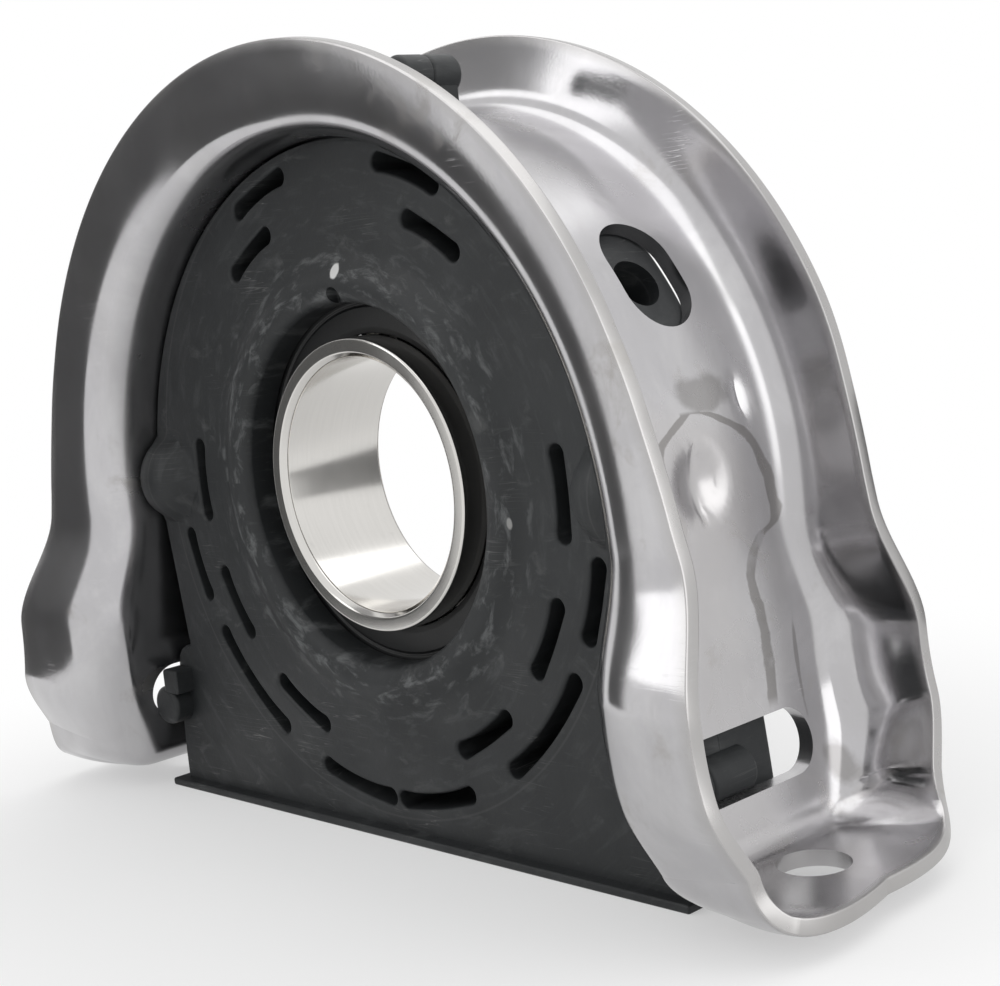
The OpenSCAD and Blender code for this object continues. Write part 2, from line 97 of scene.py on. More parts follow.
# %% [markdown]
# ## Helpers for meshes
#
# All shapes are worked out in millimetres, as a drawing would give them, and become
# metres only when they turn into a piece. Small helpers do the rest: they turn points
# and faces into a clean mesh, join or cut closed meshes, spin a profile about the shaft,
# and put a finished mesh into the scene on its body.

# %% Mesh helpers
WELD = 1e-4


def mesh_of(name, points, faces):
    """A clean mesh: doubled points are welded and all faces look outward."""
    mesh = bpy.data.meshes.new(name)
    mesh.from_pydata([tuple(map(float, p)) for p in points], [], faces)
    bm = bmesh.new()
    bm.from_mesh(mesh)
    bmesh.ops.remove_doubles(bm, verts=bm.verts, dist=WELD)
    bmesh.ops.dissolve_degenerate(bm, edges=bm.edges, dist=WELD)
    bmesh.ops.recalc_face_normals(bm, faces=bm.faces)
    if bm.calc_volume(signed=True) < 0:
        bmesh.ops.reverse_faces(bm, faces=bm.faces)
    bm.to_mesh(mesh)
    bm.free()
    return mesh


def cut(mesh, tool):
    """The mesh less a closed tool."""
    host, blade = add("host", mesh), add("blade", tool)
    modifier = host.modifiers.new("cut", "BOOLEAN")
    modifier.object = blade
    modifier.operation = "DIFFERENCE"
    modifier.solver = "EXACT"
    graph = bpy.context.evaluated_depsgraph_get()
    made = bpy.data.meshes.new_from_object(host.evaluated_get(graph))
    for obj in (host, blade):
        bpy.data.objects.remove(obj)
    return made


def joined(name, meshes):
    """Several closed meshes as one."""
    bm = bmesh.new()
    for mesh in meshes:
        bm.from_mesh(mesh)
    out = bpy.data.meshes.new(name)
    bm.to_mesh(out)
    bm.free()
    return out


def grid_faces(rows, cols, closed_rows=True, closed_cols=True):
    """Faces of a grid of points that are listed row by row."""
    return [(k * cols + j, k * cols + (j + 1) % cols,
             (k + 1) % rows * cols + (j + 1) % cols, (k + 1) % rows * cols + j)
            for k in range(rows if closed_rows else rows - 1)
            for j in range(cols if closed_cols else cols - 1)]


def spin(name, profile, steps=192):
    """A closed profile of radius and place along the shaft, spun about the shaft."""
    points = [(r * math.cos(a), y, r * math.sin(a))
              for a in np.linspace(0, 2 * math.pi, steps, endpoint=False) for r, y in profile]
    return mesh_of(name, points, grid_faces(steps, len(profile)))


def rounded(corners, radius, steps=4):
    """A closed outline with its corners rounded; radius is one number or one each."""
    corners = [np.array(c, float) for c in corners]
    radii = radius if hasattr(radius, "__len__") else [radius] * len(corners)
    out = []
    for i, c in enumerate(corners):
        before, after = corners[i - 1] - c, corners[(i + 1) % len(corners)] - c
        reach = min(radii[i], np.linalg.norm(before) / 2.01, np.linalg.norm(after) / 2.01)
        a = c + before / np.linalg.norm(before) * reach
        b = c + after / np.linalg.norm(after) * reach
        for t in np.linspace(0, 1, steps + 1):
            out.append(a * (1 - t) ** 2 + c * 2 * t * (1 - t) + b * t * t)
    return out


def prism(outline, place, height):
    """An outline in X and Y as a closed prism about Z, moved by a matrix."""
    count = len(outline)
    points = [place @ Vector((p[0], p[1], s * height / 2)) for s in (-1, 1) for p in outline]
    faces = [tuple(range(count)), tuple(range(count, 2 * count))]
    faces += [(i, (i + 1) % count, count + (i + 1) % count, count + i) for i in range(count)]
    return mesh_of("prism", points, faces)


def round_bar(length, width, steps=24):
    """Outline of a bar along X with half-round ends."""
    half = (length - width) / 2
    turns = np.linspace(-math.pi / 2, math.pi / 2, steps)
    ends = [(half + width / 2 * math.cos(a), width / 2 * math.sin(a)) for a in turns]
    return ends + [(-x, -y) for x, y in ends]


def round_hole(diameter, steps=24):
    """Outline of a circle, as a bar that is hardly longer than it is wide."""
    return round_bar(diameter, diameter - 0.01, steps)


def coat(mesh, finish, sharp=35.0):
    """Gives a mesh its finish, smooth but for edges beyond an angle in degrees."""
    mesh.shade_smooth()
    mesh.set_sharp_from_angle(angle=math.radians(sharp))
    mesh.materials.clear()
    mesh.materials.append(finish)


def piece(name, mesh, body, finish, nodes=(), sharp=35.0):
    """Puts a mesh made in millimetres into the scene, on its body."""
    mesh.transform(Matrix.Scale(MM, 4))
    coat(mesh, finish, sharp)
    obj = add(name, mesh)
    even = obj.modifiers.new("even_shading", "WEIGHTED_NORMAL")
    even.keep_sharp = True
    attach(obj, body)
    if nodes:
        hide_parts(*nodes)
    print(name, "has", len(mesh.polygons), "faces")

# %% [markdown]
# ## Effects that several finishes share
#
# Real surfaces are never one colour. A few effects come back again and again, so each is
# a node group, built once: a fine grain, soft blotches, hairline scratches, a round dab,
# and the dark tide line that a drying fluid leaves. A group gives out masks, heights and
# distances only. The shader itself stays in each material.

# %% Node helpers
def make(tree, kind, props=None, **inputs):
    """One node. An input is a value or another node's output; _3 means input number 3."""
    node = tree.nodes.new(kind)
    for key, value in (props or {}).items():
        setattr(node, key, value)
    for key, value in inputs.items():
        number = key[1:]
        socket = node.inputs[int(number) if number.isdigit() else key.replace("_", " ")]
        if isinstance(value, bpy.types.NodeSocket):
            tree.links.new(value, socket)
        else:
            socket.default_value = value
    return node


def tree_of(*values):
    """The node tree of the first value that is a node's output."""
    return next(v.id_data for v in values if isinstance(v, bpy.types.NodeSocket))


def calc(operation, a, b=0.0):
    return make(tree_of(a, b), "ShaderNodeMath", {"operation": operation}, _0=a, _1=b).outputs[0]


def times(a, b):
    return calc("MULTIPLY", a, b)


def off_by(value, middle):
    """How far a value lies from a middle, to either side."""
    return calc("ABSOLUTE", calc("SUBTRACT", value, middle))


def any_of(masks):
    """The strongest of several masks at each place."""
    out = masks[0]
    for mask in masks[1:]:
        out = calc("MAXIMUM", out, mask)
    return out


def vector_calc(operation, a, b=(0.0, 0.0, 0.0)):
    return make(tree_of(a, b), "ShaderNodeVectorMath", {"operation": operation}, _0=a, _1=b).outputs


def span(value, low, high, to_low=0.0, to_high=1.0):
    """A value moved from one range to another, and kept inside it."""
    return make(tree_of(value), "ShaderNodeMapRange", {"interpolation_type": "SMOOTHSTEP"}, Value=value,
                From_Min=low, From_Max=high, To_Min=to_low, To_Max=to_high).outputs[0]


def mix(factor, a, b):
    """Two colours mixed."""
    return make(tree_of(factor), "ShaderNodeMix", {"data_type": "RGBA"}, _0=factor, _6=a, _7=b).outputs[2]


def coated(colour, *coats):
    """A colour under coats, each given as its mask, its strength and its own colour."""
    for mask, strength, shade in coats:
        colour = mix(times(mask, strength), colour, (*shade, 1))
    return colour


def noise(vector, scale, detail=4.0, roughness=0.55, distortion=0.0):
    return make(tree_of(vector), "ShaderNodeTexNoise", Vector=vector, Scale=scale, Detail=detail,
                Roughness=roughness, Distortion=distortion).outputs[0]


def place_of(tree):
    """Place on the object in metres, the same from every side."""
    return make(tree, "ShaderNodeTexCoord").outputs["Object"]


def axes_of(tree):
    """That place as its X, Y and Z."""
    return make(tree, "ShaderNodeSeparateXYZ", Vector=place_of(tree)).outputs


def stretched(tree, scale, turn=(0.0, 0.0, 0.0), shift=(0.0, 0.0, 0.0)):
    """That place stretched, turned and shifted."""
    return make(tree, "ShaderNodeMapping", Vector=place_of(tree), Location=shift, Rotation=turn,
                Scale=scale).outputs[0]


def new_group(name, inputs, outputs):
    """A node group whose inputs have defaults, with its own ends for input and output."""
    tree = bpy.data.node_groups.new(name, "ShaderNodeTree")
    for label, value in inputs.items():
        kind = "NodeSocketFloat" if isinstance(value, float) else "NodeSocketVector"
        tree.interface.new_socket(label, in_out="INPUT", socket_type=kind).default_value = value
    for label in outputs:
        tree.interface.new_socket(label, in_out="OUTPUT", socket_type="NodeSocketFloat")
    return tree, tree.nodes.new("NodeGroupInput").outputs, tree.nodes.new("NodeGroupOutput").inputs


def use(tree, group, **inputs):
    return make(tree, "ShaderNodeGroup", {"node_tree": group}, **inputs).outputs


def finish_of(name):
    """A new material, its tree and its shader."""
    material = bpy.data.materials.new(name)
    material.use_nodes = True
    return material, material.node_tree, material.node_tree.nodes["Principled BSDF"]


def dress(shader, colour, rough, relief, metallic=0.0):
    """Links a finish to its shader. The relief is a height, a strength and a depth in metres."""
    tree = shader.id_data
    height, strength, depth = relief
    bump = make(tree, "ShaderNodeBump", Height=height, Strength=strength, Distance=depth)
    for label, value in (("Base Color", colour), ("Roughness", rough), ("Normal", bump.outputs[0])):
        tree.links.new(value, shader.inputs[label])
    shader.inputs["Metallic"].default_value = metallic

# %% Build the shared effects
grain, given, gives = new_group("fine_grain", {"Scale": 900.0, "Softness": 0.5}, ["Height", "Cloud"])
spot = place_of(grain)
grain.links.new(noise(spot, given["Scale"], 3.0, given["Softness"]), gives["Height"])
grain.links.new(noise(spot, 38.0, 5.0, 0.6), gives["Cloud"])

blotch, given, gives = new_group("soft_blotches", {
    "Scale": 40.0, "Low": 0.5, "High": 0.65,
    "Shift": (0.0, 0.0, 0.0), "Stretch": (1.0, 1.0, 1.0)}, ["Mask"])
spot = stretched(blotch, given["Stretch"], shift=given["Shift"])
cloud = noise(spot, given["Scale"], 6.0, 0.62, 0.6)
blotch.links.new(span(cloud, given["Low"], given["High"]), gives["Mask"])

scratch, given, gives = new_group("hairline_scratches", {
    "Turn": (0.0, 0.0, 0.0), "Stretch": (1.0, 1.0, 40.0), "Scale": 30.0, "Amount": 0.3}, ["Mask"])
spot = stretched(scratch, given["Stretch"], given["Turn"])
line = noise(spot, given["Scale"], 2.0, 0.5, 0.3)
thin = span(off_by(line, 0.5), 0.012, 0.0)
where = span(noise(place_of(scratch), 55.0, 3.0),
             calc("SUBTRACT", 1.0, given["Amount"]), 0.85)
scratch.links.new(times(thin, where), gives["Mask"])

dab, given, gives = new_group("round_dab", {
    "Centre": (0.0, 0.0, 0.0), "Size": (1.0, 1.0, 1.0), "Wobble": 0.25, "Softness": 0.05}, ["Mask"])
away = vector_calc("SUBTRACT", place_of(dab), given["Centre"])[0]
away = vector_calc("DIVIDE", away, given["Size"])[0]
far = vector_calc("LENGTH", away)["Value"]
shake = calc("SUBTRACT", noise(place_of(dab), 160.0, 3.0), 0.5)
far = calc("ADD", far, times(shake, given["Wobble"]))
dab.links.new(span(far, 1.0, calc("SUBTRACT", 1.0, given["Softness"])), gives["Mask"])

TIDE_SPAN = 60.0  # room for a tide line from front to rear, in mm


def tide_group(name, route):
    """A group: how far a place lies from a line down a leg, in metres, and on which side."""
    tree, given, gives = new_group(name, {"Wobble": 0.003}, ["Distance", "Side"])
    at = axes_of(tree)
    low, high = min(route)[0], max(route)[0]
    level = make(tree, "ShaderNodeMapRange", Value=at[2], From_Min=low * MM,
                 From_Max=high * MM).outputs[0]
    curve = make(tree, "ShaderNodeFloatCurve", Value=level)
    line = curve.mapping.curves[0]
    while len(line.points) < len(route):
        line.points.new(0.5, 0.5)
    for point, (z, y) in zip(line.points, sorted(route)):
        point.location = ((z - low) / (high - low), y / TIDE_SPAN + 0.5)
    curve.mapping.update()
    across = calc("SUBTRACT", times(curve.outputs[0], TIDE_SPAN * MM), TIDE_SPAN / 2 * MM)
    shake = calc("SUBTRACT", noise(place_of(tree), 130.0, 4.0, 0.6), 0.5)
    across = calc("ADD", across, times(shake, given["Wobble"]))
    side = calc("SUBTRACT", at[1], across)
    tree.links.new(calc("ABSOLUTE", side), gives["Distance"])
    tree.links.new(side, gives["Side"])
    return tree


# a line's heights, and its places from front to rear, in mm
tide_rear = tide_group("tide_rear", [
    (14.3, 2.5), (14.0, 5.4), (11.7, 10.8), (7.0, 17.3), (1.1, 20.7), (-4.5, 21.8), (-10.7, 21.6),
    (-13.6, 16.3), (-19.9, 12.5), (-24.5, 12.4), (-29.4, 13.6), (-38.3, 14.8), (-47.6, 14.2)])
tide_front = tide_group("tide_front", [
    (14.3, -0.5), (11.8, -5.1), (8.9, -9.9), (7.6, -10.6), (0.0, -12.0), (-6.0, -12.0)])
print("shared effects:", [g.name for g in bpy.data.node_groups])

# %% [markdown]
# ## Drawn steel
#
# The bracket is pressed from bare sheet in a deep-drawing die. The die leaves it satin
# bright, with faint streaks along the pull. Oil has dried on it in dark tide lines, and
# handling has left nicks and hairline scratches. So the finish is a full metal whose
# colour and roughness change with blotches, streaks, tide lines and scratches. The die
# has burnished the flanges, while the flat strip between them stays satin. The cut edge
# of the sheet, marked by an attribute on the mesh, is rougher.

# %% Make the drawn steel
DRIPS = [((0.09, 0.0285, -0.0645), (0.02, 0.0045, 0.006)),  # centre and size in metres
         ((0.09, 0.024, -0.0425), (0.02, 0.0008, 0.012)),
         ((0.088, 0.006, 0.018), (0.02, 0.0105, 0.005))]

steel, t, shader = finish_of("drawn_steel")
clouds = use(t, grain, Scale=1400.0, Softness=0.6)
patches = use(t, blotch, Scale=26.0, Low=0.42, High=0.68)["Mask"]
stains = use(t, blotch, Scale=48.0, Low=0.58, High=0.74, Shift=(0.7, 0.2, 0.1))["Mask"]
streaks = use(t, blotch, Scale=60.0, Low=0.4, High=0.7, Stretch=(1.0, 1.0, 0.12))["Mask"]
lines = use(t, scratch, Turn=(0.4, 0.3, 0.2), Stretch=(1.0, 1.0, 30.0), Amount=0.42)["Mask"]
edge = make(t, "ShaderNodeAttribute", {"attribute_name": "cut_edge"}).outputs["Fac"]
place = axes_of(t)
off_middle = calc("ABSOLUTE", place[1])
on_leg = times(span(place[0], 0.07, 0.074), span(off_middle, 0.028, 0.024))
broken = span(noise(place_of(t), 90.0, 3.0), 0.3, 0.45, 0.35, 1.0)
tides = []
for group, low, high in ((tide_rear, -0.047, 0.0142), (tide_front, -0.005, 0.0142)):
    from_line = use(t, group)["Distance"]
    tide = times(span(from_line, 0.0019, 0.0013), broken)
    tide = times(tide, span(place[2], low - 0.003, low))
    tides.append(times(tide, span(place[2], high + 0.001, high)))
drips = [use(t, dab, Centre=centre, Size=size, Wobble=0.9, Softness=0.45)["Mask"]
         for centre, size in DRIPS]
dried = any_of([times(any_of(tides), on_leg), times(any_of(drips), 0.8)])
wet = times(span(use(t, tide_rear)["Side"], 0.0, -0.012),
            span(place[2], -0.05, 0.012, 0.6, 1.0))
wet = times(times(wet, on_leg), span(place[2], 0.02, 0.012))
colour = mix(patches, (0.49, 0.483, 0.495, 1), (0.56, 0.553, 0.562, 1))
colour = coated(colour, (streaks, 0.25, (0.4, 0.392, 0.385)),
                (stains, 0.45, (0.33, 0.308, 0.28)), (wet, 0.25, (0.52, 0.495, 0.48)),
                (dried, 0.62, (0.17, 0.16, 0.15)), (lines, 0.5, (0.72, 0.72, 0.72)),
                (edge, 0.6, (0.4, 0.39, 0.375)))
rough = span(clouds["Cloud"], 0.3, 0.7, 0.1, 0.16)
satin = span(off_middle, 0.031, 0.023)
for mask, more in ((satin, 0.12), (stains, 0.1), (edge, 0.14)):
    rough = calc("ADD", rough, times(mask, more))
height = calc("ADD", times(clouds["Height"], 0.2), times(lines, -0.6))
dress(shader, colour, rough, (height, 0.22, 0.00012), metallic=1.0)
print("made", steel.name)

# %% [markdown]
# ## Moulded rubber
#
# The cushion is black rubber from a steel mould. It is not pure black: dust, mould
# release and rubbing leave grey clouds and pale scuffs. Pale smears gather on the raised
# roll, partly real rubbing and partly a painted highlight on the roll's crest.
# The finish mixes a dusty grey into the dark base by a few clouds of different sizes,
# and a fine grain roughens it. A fitter's dab of white paint marks the top of the roll.

# %% Make the moulded rubber
ROLL_MIDDLE, MOULD_LINE = 0.0485, 0.0793  # radii in metres

rubber, t, shader = finish_of("moulded_rubber")
clouds = use(t, grain, Scale=1100.0, Softness=0.65)
dusty = use(t, blotch, Scale=20.0, Low=0.4, High=0.8)["Mask"]
scuffed = use(t, blotch, Scale=110.0, Low=0.57, High=0.76, Shift=(0.3, 0.1, 0.6),
              Stretch=(1.0, 0.5, 1.6))["Mask"]
rubbed = use(t, scratch, Turn=(0.1, 0.9, 0.0), Stretch=(1.0, 1.0, 22.0), Amount=0.5)["Mask"]
paint = use(t, dab, Centre=(0.0014, -0.0182, 0.0501), Size=(0.0017, 0.004, 0.0021),
            Wobble=0.9, Softness=0.3)["Mask"]
chip = use(t, dab, Centre=(0.0502, -0.0165, -0.0063), Size=(0.0007, 0.004, 0.0017),
           Wobble=0.9, Softness=0.4)["Mask"]
place = axes_of(t)
radius = calc("SQRT", calc("ADD", times(place[0], place[0]), times(place[2], place[2])))
angle = calc("ARCTAN2", place[2], place[0])
polar = make(t, "ShaderNodeCombineXYZ", X=times(angle, 0.02), Y=radius,
             Z=times(place[1], 0.2)).outputs[0]
# painted highlight: the pale smears grow stronger on the roll's crest, partly real rubbing there and
# partly painted light that makes the roll stand out
near_roll = span(off_by(radius, ROLL_MIDDLE), 0.011, 0.001)
mould_line = span(off_by(radius, MOULD_LINE), 0.0004, 0.0001)
smears_and_crest_highlight = times(span(noise(polar, 330.0, 5.0, 0.65, 0.4), 0.5, 0.72),
               calc("ADD", 0.12, times(near_roll, 0.75)))
colour = coated((0.017, 0.0188, 0.02, 1), (dusty, 0.5, (0.042, 0.0455, 0.0475)),
                (smears_and_crest_highlight, 1.0, (0.14, 0.146, 0.148)), (scuffed, 0.3, (0.14, 0.143, 0.142)),
                (rubbed, 0.6, (0.26, 0.26, 0.255)), (mould_line, 0.2, (0.1, 0.1, 0.1)),
                (chip, 0.8, (0.4, 0.4, 0.39)), (paint, 1.0, (0.72, 0.72, 0.71)))
rough = span(clouds["Cloud"], 0.3, 0.7, 0.42, 0.62)
height = calc("ADD", times(clouds["Height"], 0.5), times(scuffed, 0.4))
dress(shader, colour, rough, (height, 0.3, 0.0003))
shader.inputs["Specular IOR Level"].default_value = 0.4
print("made", rubber.name)

# %% [markdown]
# ## Ground steel, seal rubber and the hidden steels
#
# The ring's bore is ground, so it carries very fine lines round the shaft and mirrors
# the studio in bands. The lip seal is smooth nitrile rubber with an oily shine. The
# balls are polished and the cage is plain pressed strip. They only show when the part
# is taken apart, and still get their own finish.

# %% Make the bearing's finishes
def bearing_steel(name, low, high, rough_low, rough_high, lines_scale):
    """Ground steel with fine lines round the shaft."""
    material, t, shader = finish_of(name)
    clouds = use(t, grain, Scale=1500.0, Softness=0.5)
    ground = noise(stretched(t, (0.02, 1.0, 0.02)), lines_scale, 3.0, 0.6)
    spots = use(t, blotch, Scale=90.0, Low=0.62, High=0.75)["Mask"]
    colour = mix(span(ground, 0.35, 0.65), (*low, 1), (*high, 1))
    colour = coated(colour, (spots, 0.25, [0.75 * v for v in low]))
    rough = span(clouds["Cloud"], 0.3, 0.7, rough_low, rough_high)
    dress(shader, colour, rough, (ground, 0.02, 0.00002), metallic=1.0)
    print("made", name)
    return material


ring_steel = bearing_steel("ring_steel", (0.655, 0.64, 0.615), (0.675, 0.66, 0.635), 0.12, 0.18, 2600.0)
ball_steel = bearing_steel("ball_steel", (0.74, 0.74, 0.74), (0.8, 0.8, 0.8), 0.05, 0.1, 600.0)
cage_steel = bearing_steel("cage_steel", (0.5, 0.48, 0.44), (0.6, 0.58, 0.53), 0.3, 0.42, 900.0)

seal_rubber, t, shader = finish_of("seal_rubber")
clouds = use(t, grain, Scale=1600.0, Softness=0.5)
dusty = use(t, blotch, Scale=60.0, Low=0.5, High=0.75)["Mask"]
colour = coated((0.01, 0.0105, 0.011, 1), (dusty, 0.5, (0.022, 0.0225, 0.023)))
rough = span(clouds["Cloud"], 0.3, 0.7, 0.42, 0.55)
dress(shader, colour, rough, (clouds["Height"], 0.15, 0.0002))
print("made", seal_rubber.name)

# %% [markdown]
# ## The bracket
#
# The bracket is one sheet. Its middle strip follows a line: an arch, a leg, a sweep, a
# shin, a tight bend and a flat foot. From the strip's edge a flange curves outward to a
# rim, and the rim runs round the end of the foot. A modeller could push a plane into
# shape by hand, but the same formulas as the part's source give every point exactly, and
# finer. Each line of points starts in the middle of the strip and ends at the rim.

# %% Lay out the bracket's lines
WEB_R, ARCH_Z, SHEET_T = 86.0, -6.0, 3.5
FLANGE_H, LEG_FLANGE_H = 21.0, 28.0
ARCH_HALF, LEG_HALF, FOOT_HALF = 34.0, 43.5, 33.3
ARCH_FLAT, LEG_FLAT, FOOT_FLAT = 20.5, 26.0, 20.0
LEG_HEAD, SHIN_HEAD = math.radians(88), math.radians(77)
LEG_L, SWEEP_R, BEND_R = 36.0, 90.0, 9.5
FOOT_Z, BOLT_X, TOE, TOE_EDGE, TOE_SKEW = -79.5, 110.0, 17.5, 6.0, 0.1
LEADS, TOE_LEADS = np.array([0.88, 0.55]), np.array([0.45, 0.35])
# where the width and the flange change: the height of the start, and the drop it takes
WIDEN, NARROW, DEEPEN = (ARCH_Z - 2, 28), (FOOT_Z + 29.5, 26), (ARCH_Z + 21, 55)
# how the rim is pulled out round the foot: beside the heel and beyond the toe
HEEL_PULL, TOE_PULL, TOE_PULL_Y = (1.0, 1.7), 4.5, 29.0
FAN = 2.5  # how late the lines turn toward the toe
FINE = 7  # how many times finer than the solid
# steps along the arch, the leg, the sweep, the shin, the bend, the foot and the toe
STEPS = [n * FINE for n in (15, 4, 2, 2, 4, 3, 8)]
SPINE_N, FOOT_N, BEND_N = sum(STEPS[:6]), STEPS[5], STEPS[4]
QUARTER_N = SPINE_N + STEPS[6]
FLAT_COLS, RISE_COLS = 20, 16


def blend(t):
    c = min(max(t, 0.0), 1.0)
    return c * c * (3 - 2 * c)


def side_of(h):
    """Outward side of the sheet at a heading: 0 runs right, a right angle runs down."""
    return np.array([math.sin(h), math.cos(h)])


def run_of(h):
    return np.array([math.cos(h), -math.sin(h)])


def spine():
    """The line of the sheet's inner face in X and Z, with its heading."""
    centre = np.array([0.0, ARCH_Z])
    leg_a = centre + WEB_R * side_of(LEG_HEAD)
    leg_b = leg_a + LEG_L * run_of(LEG_HEAD)
    sweep_c = leg_b + SWEEP_R * side_of(LEG_HEAD)
    shin_a = sweep_c - SWEEP_R * side_of(SHIN_HEAD)
    drop = shin_a[1] - FOOT_Z - BEND_R * (1 - math.cos(SHIN_HEAD))
    shin_b = shin_a + drop / math.sin(SHIN_HEAD) * run_of(SHIN_HEAD)
    bend_c = shin_b + BEND_R * side_of(SHIN_HEAD)
    foot_a = bend_c - BEND_R * side_of(0.0)
    foot_b = np.array([BOLT_X, FOOT_Z])

    def arc(c, r, h0, h1, n):
        return [(c + r * side_of(h), h) for h in np.linspace(h0, h1, n + 1)[1:]]

    def straight(a, b, h, n):
        return [(a + (b - a) * s, h) for s in np.linspace(0, 1, n + 1)[1:]]

    return ([(centre + WEB_R * side_of(0.0), 0.0)]
            + arc(centre, WEB_R, 0.0, LEG_HEAD, STEPS[0])
            + straight(leg_a, leg_b, LEG_HEAD, STEPS[1])
            + arc(sweep_c, -SWEEP_R, LEG_HEAD, SHIN_HEAD, STEPS[2])
            + straight(shin_a, shin_b, SHIN_HEAD, STEPS[3])
            + arc(bend_c, -BEND_R, SHIN_HEAD, 0.0, STEPS[4])
            + straight(foot_a, foot_b, 0.0, STEPS[5]))


def below(z, start, drop):
    """How far a change has come at a height: 0 at its start, 1 after its whole drop."""
    return blend((start - z) / drop)


def grown(z, arch, leg, foot):
    """A width that grows from the arch to the leg and shrinks again to the foot."""
    return arch + (leg - arch) * below(z, *WIDEN) - (leg - foot) * below(z, *NARROW)


def bezier(a, b, c, d, t):
    return (a * (1 - t) ** 3 + b * 3 * t * (1 - t) ** 2 + c * 3 * t * t * (1 - t) + d * t ** 3)


SPINE = spine()


def rim_line():
    """The rim of one quarter, from the top of the arch to the end of the foot."""
    main_n = SPINE_N - FOOT_N - BEND_N
    out = []
    for p, h in SPINE[:main_n + 1]:
        flange = FLANGE_H + (LEG_FLANGE_H - FLANGE_H) * below(p[1], *DEEPEN)
        q = p + flange * side_of(h)
        out.append(np.array([q[0], grown(q[1], ARCH_HALF, LEG_HALF, FOOT_HALF), q[1]]))
    a = out[-1]
    b = np.array([a[0] + HEEL_PULL[0], FOOT_HALF + HEEL_PULL[1], FOOT_Z])
    c = np.array([BOLT_X + TOE + TOE_PULL, TOE_PULL_Y, FOOT_Z])
    d = np.array([BOLT_X + TOE, 0.0, FOOT_Z])
    return out + [bezier(a, b, c, d, t) for t in np.linspace(0, 1, QUARTER_N - main_n + 1)[1:]]


RIM = rim_line()


def unit(v):
    return v / np.linalg.norm(v)


def sheet_line(i):
    """Points from the middle of the strip, over its edge, up the flange to the rim."""
    p = SPINE[min(i, SPINE_N)][0]
    mid = np.array([p[0], 0.0, p[1]])
    swing = min(max((i - SPINE_N + FOOT_N) / FOOT_N, 0.0), 1.0) ** FAN
    reach = RIM[i] - mid
    way = unit(np.array([reach[0] * swing, reach[1], 0.0]))
    foot_i = SPINE_N - FOOT_N
    if i <= foot_i:
        flat = grown(mid[2], ARCH_FLAT, LEG_FLAT, FOOT_FLAT)
    else:
        fall = (RIM[i][2] - FOOT_Z) / (RIM[foot_i][2] - FOOT_Z)
        flat = float(reach @ way) - TOE_EDGE - (RIM[foot_i][1] - FOOT_FLAT - TOE_EDGE) * fall
    lead, pull = LEADS + (TOE_LEADS - LEADS) * blend((i - foot_i + BEND_N) / BEND_N)
    edge = mid + way * flat
    low = edge + way * lead * float((RIM[i] - edge) @ way)
    rise = RIM[i] - low
    if i == 0:
        along = np.array([1.0, 0.0, 0.0])
    elif i == QUARTER_N:
        along = np.array([0.0, -1.0, 0.0])
    else:
        along = unit(RIM[i + 1] - RIM[i - 1])
    high = RIM[i] - unit(rise - along * float(rise @ along)) * pull * np.linalg.norm(rise)
    return ([mid + (edge - mid) * s for s in np.linspace(0, 1, FLAT_COLS, endpoint=False)]
            + [bezier(edge, low, high, RIM[i], s) for s in np.linspace(0, 1, RISE_COLS)])


quarter = np.array([sheet_line(i) for i in range(QUARTER_N + 1)])
print("one quarter has", quarter.shape[0], "lines of", quarter.shape[1], "points")

# %% [markdown]
# Four mirrored quarters make the whole sheet. Before it gets its thickness, the sheet is
# pressed: a round dimple in each leg, and the small dents that use has left. Each dent
# moves the points near one place along the sheet's own inward side. The thickness then
# follows by itself, because the second skin is the first one moved along its normals,
# and the cut edge between the two skins is rounded by four extra loops.

# %% Press the dents and give the sheet its thickness
LOOP_N = 4 * QUARTER_N
EDGE_ROUND = 0.5
SKEW_FROM, SKEW_OVER = BOLT_X - 12, 20.0
DIMPLE_AT, DIMPLE_R, DIMPLE_DEPTH = math.radians(4), 8.8, 2.3
# a dent's centre, half width, half height, depth, and the share of it that eases in
DENTS = [((side * WEB_R * math.cos(DIMPLE_AT), 0.0, ARCH_Z + WEB_R * math.sin(DIMPLE_AT)),
          DIMPLE_R, DIMPLE_R, DIMPLE_DEPTH, 0.3) for side in (1, -1)]
DENTS += [((84.0, 17.5, 15.0), 3.2, 7.0, 0.8, 1.0), ((61.0, 8.0, 58.0), 4.0, 3.0, 0.35, 1.0)]

blend_all = np.vectorize(blend)
folds = []
for k in range(LOOP_N):
    q, r = divmod(k, QUARTER_N)
    folds.append((r if q % 2 == 0 else QUARTER_N - r, 1 if q < 2 else -1, -1 if q in (0, 3) else 1))
skin = np.array([quarter[i] * (sx, sy, 1.0) for i, sx, sy in folds])
skew = blend_all((np.abs(skin[..., 0]) - SKEW_FROM) / SKEW_OVER) * TOE_SKEW
skin[..., 0] -= np.sign(skin[..., 0]) * skew * skin[..., 1]
heads = [SPINE[min(i, SPINE_N)][1] for i, _, _ in folds]
inward = np.array([(-sx * math.sin(h), 0.0, -math.cos(h)) for (_, sx, _), h in zip(folds, heads)])

for centre, wide, tall, depth, soft in DENTS:
    away = skin - np.array(centre)
    far = np.sqrt((away[..., 1] / wide) ** 2
                  + (away[..., 0] ** 2 + away[..., 2] ** 2) / tall ** 2)
    bowl = np.clip(1 - far ** 2, 0, None)
    press = depth * bowl * blend_all(bowl / soft)
    skin = skin + press[..., None] * inward[:, None, :]


def sheet_normals(points):
    across = np.empty_like(points)
    across[:, 1:-1] = points[:, 2:] - points[:, :-2]
    across[:, 0] = points[:, 1] - points[:, 0]
    across[:, -1] = points[:, -1] - points[:, -2]
    along = np.roll(points, -1, axis=0) - np.roll(points, 1, axis=0)
    out = np.cross(across, along)
    length = np.linalg.norm(out, axis=2, keepdims=True)
    out = out / np.maximum(length, 1e-9)
    out[:, 0] = -inward
    return out


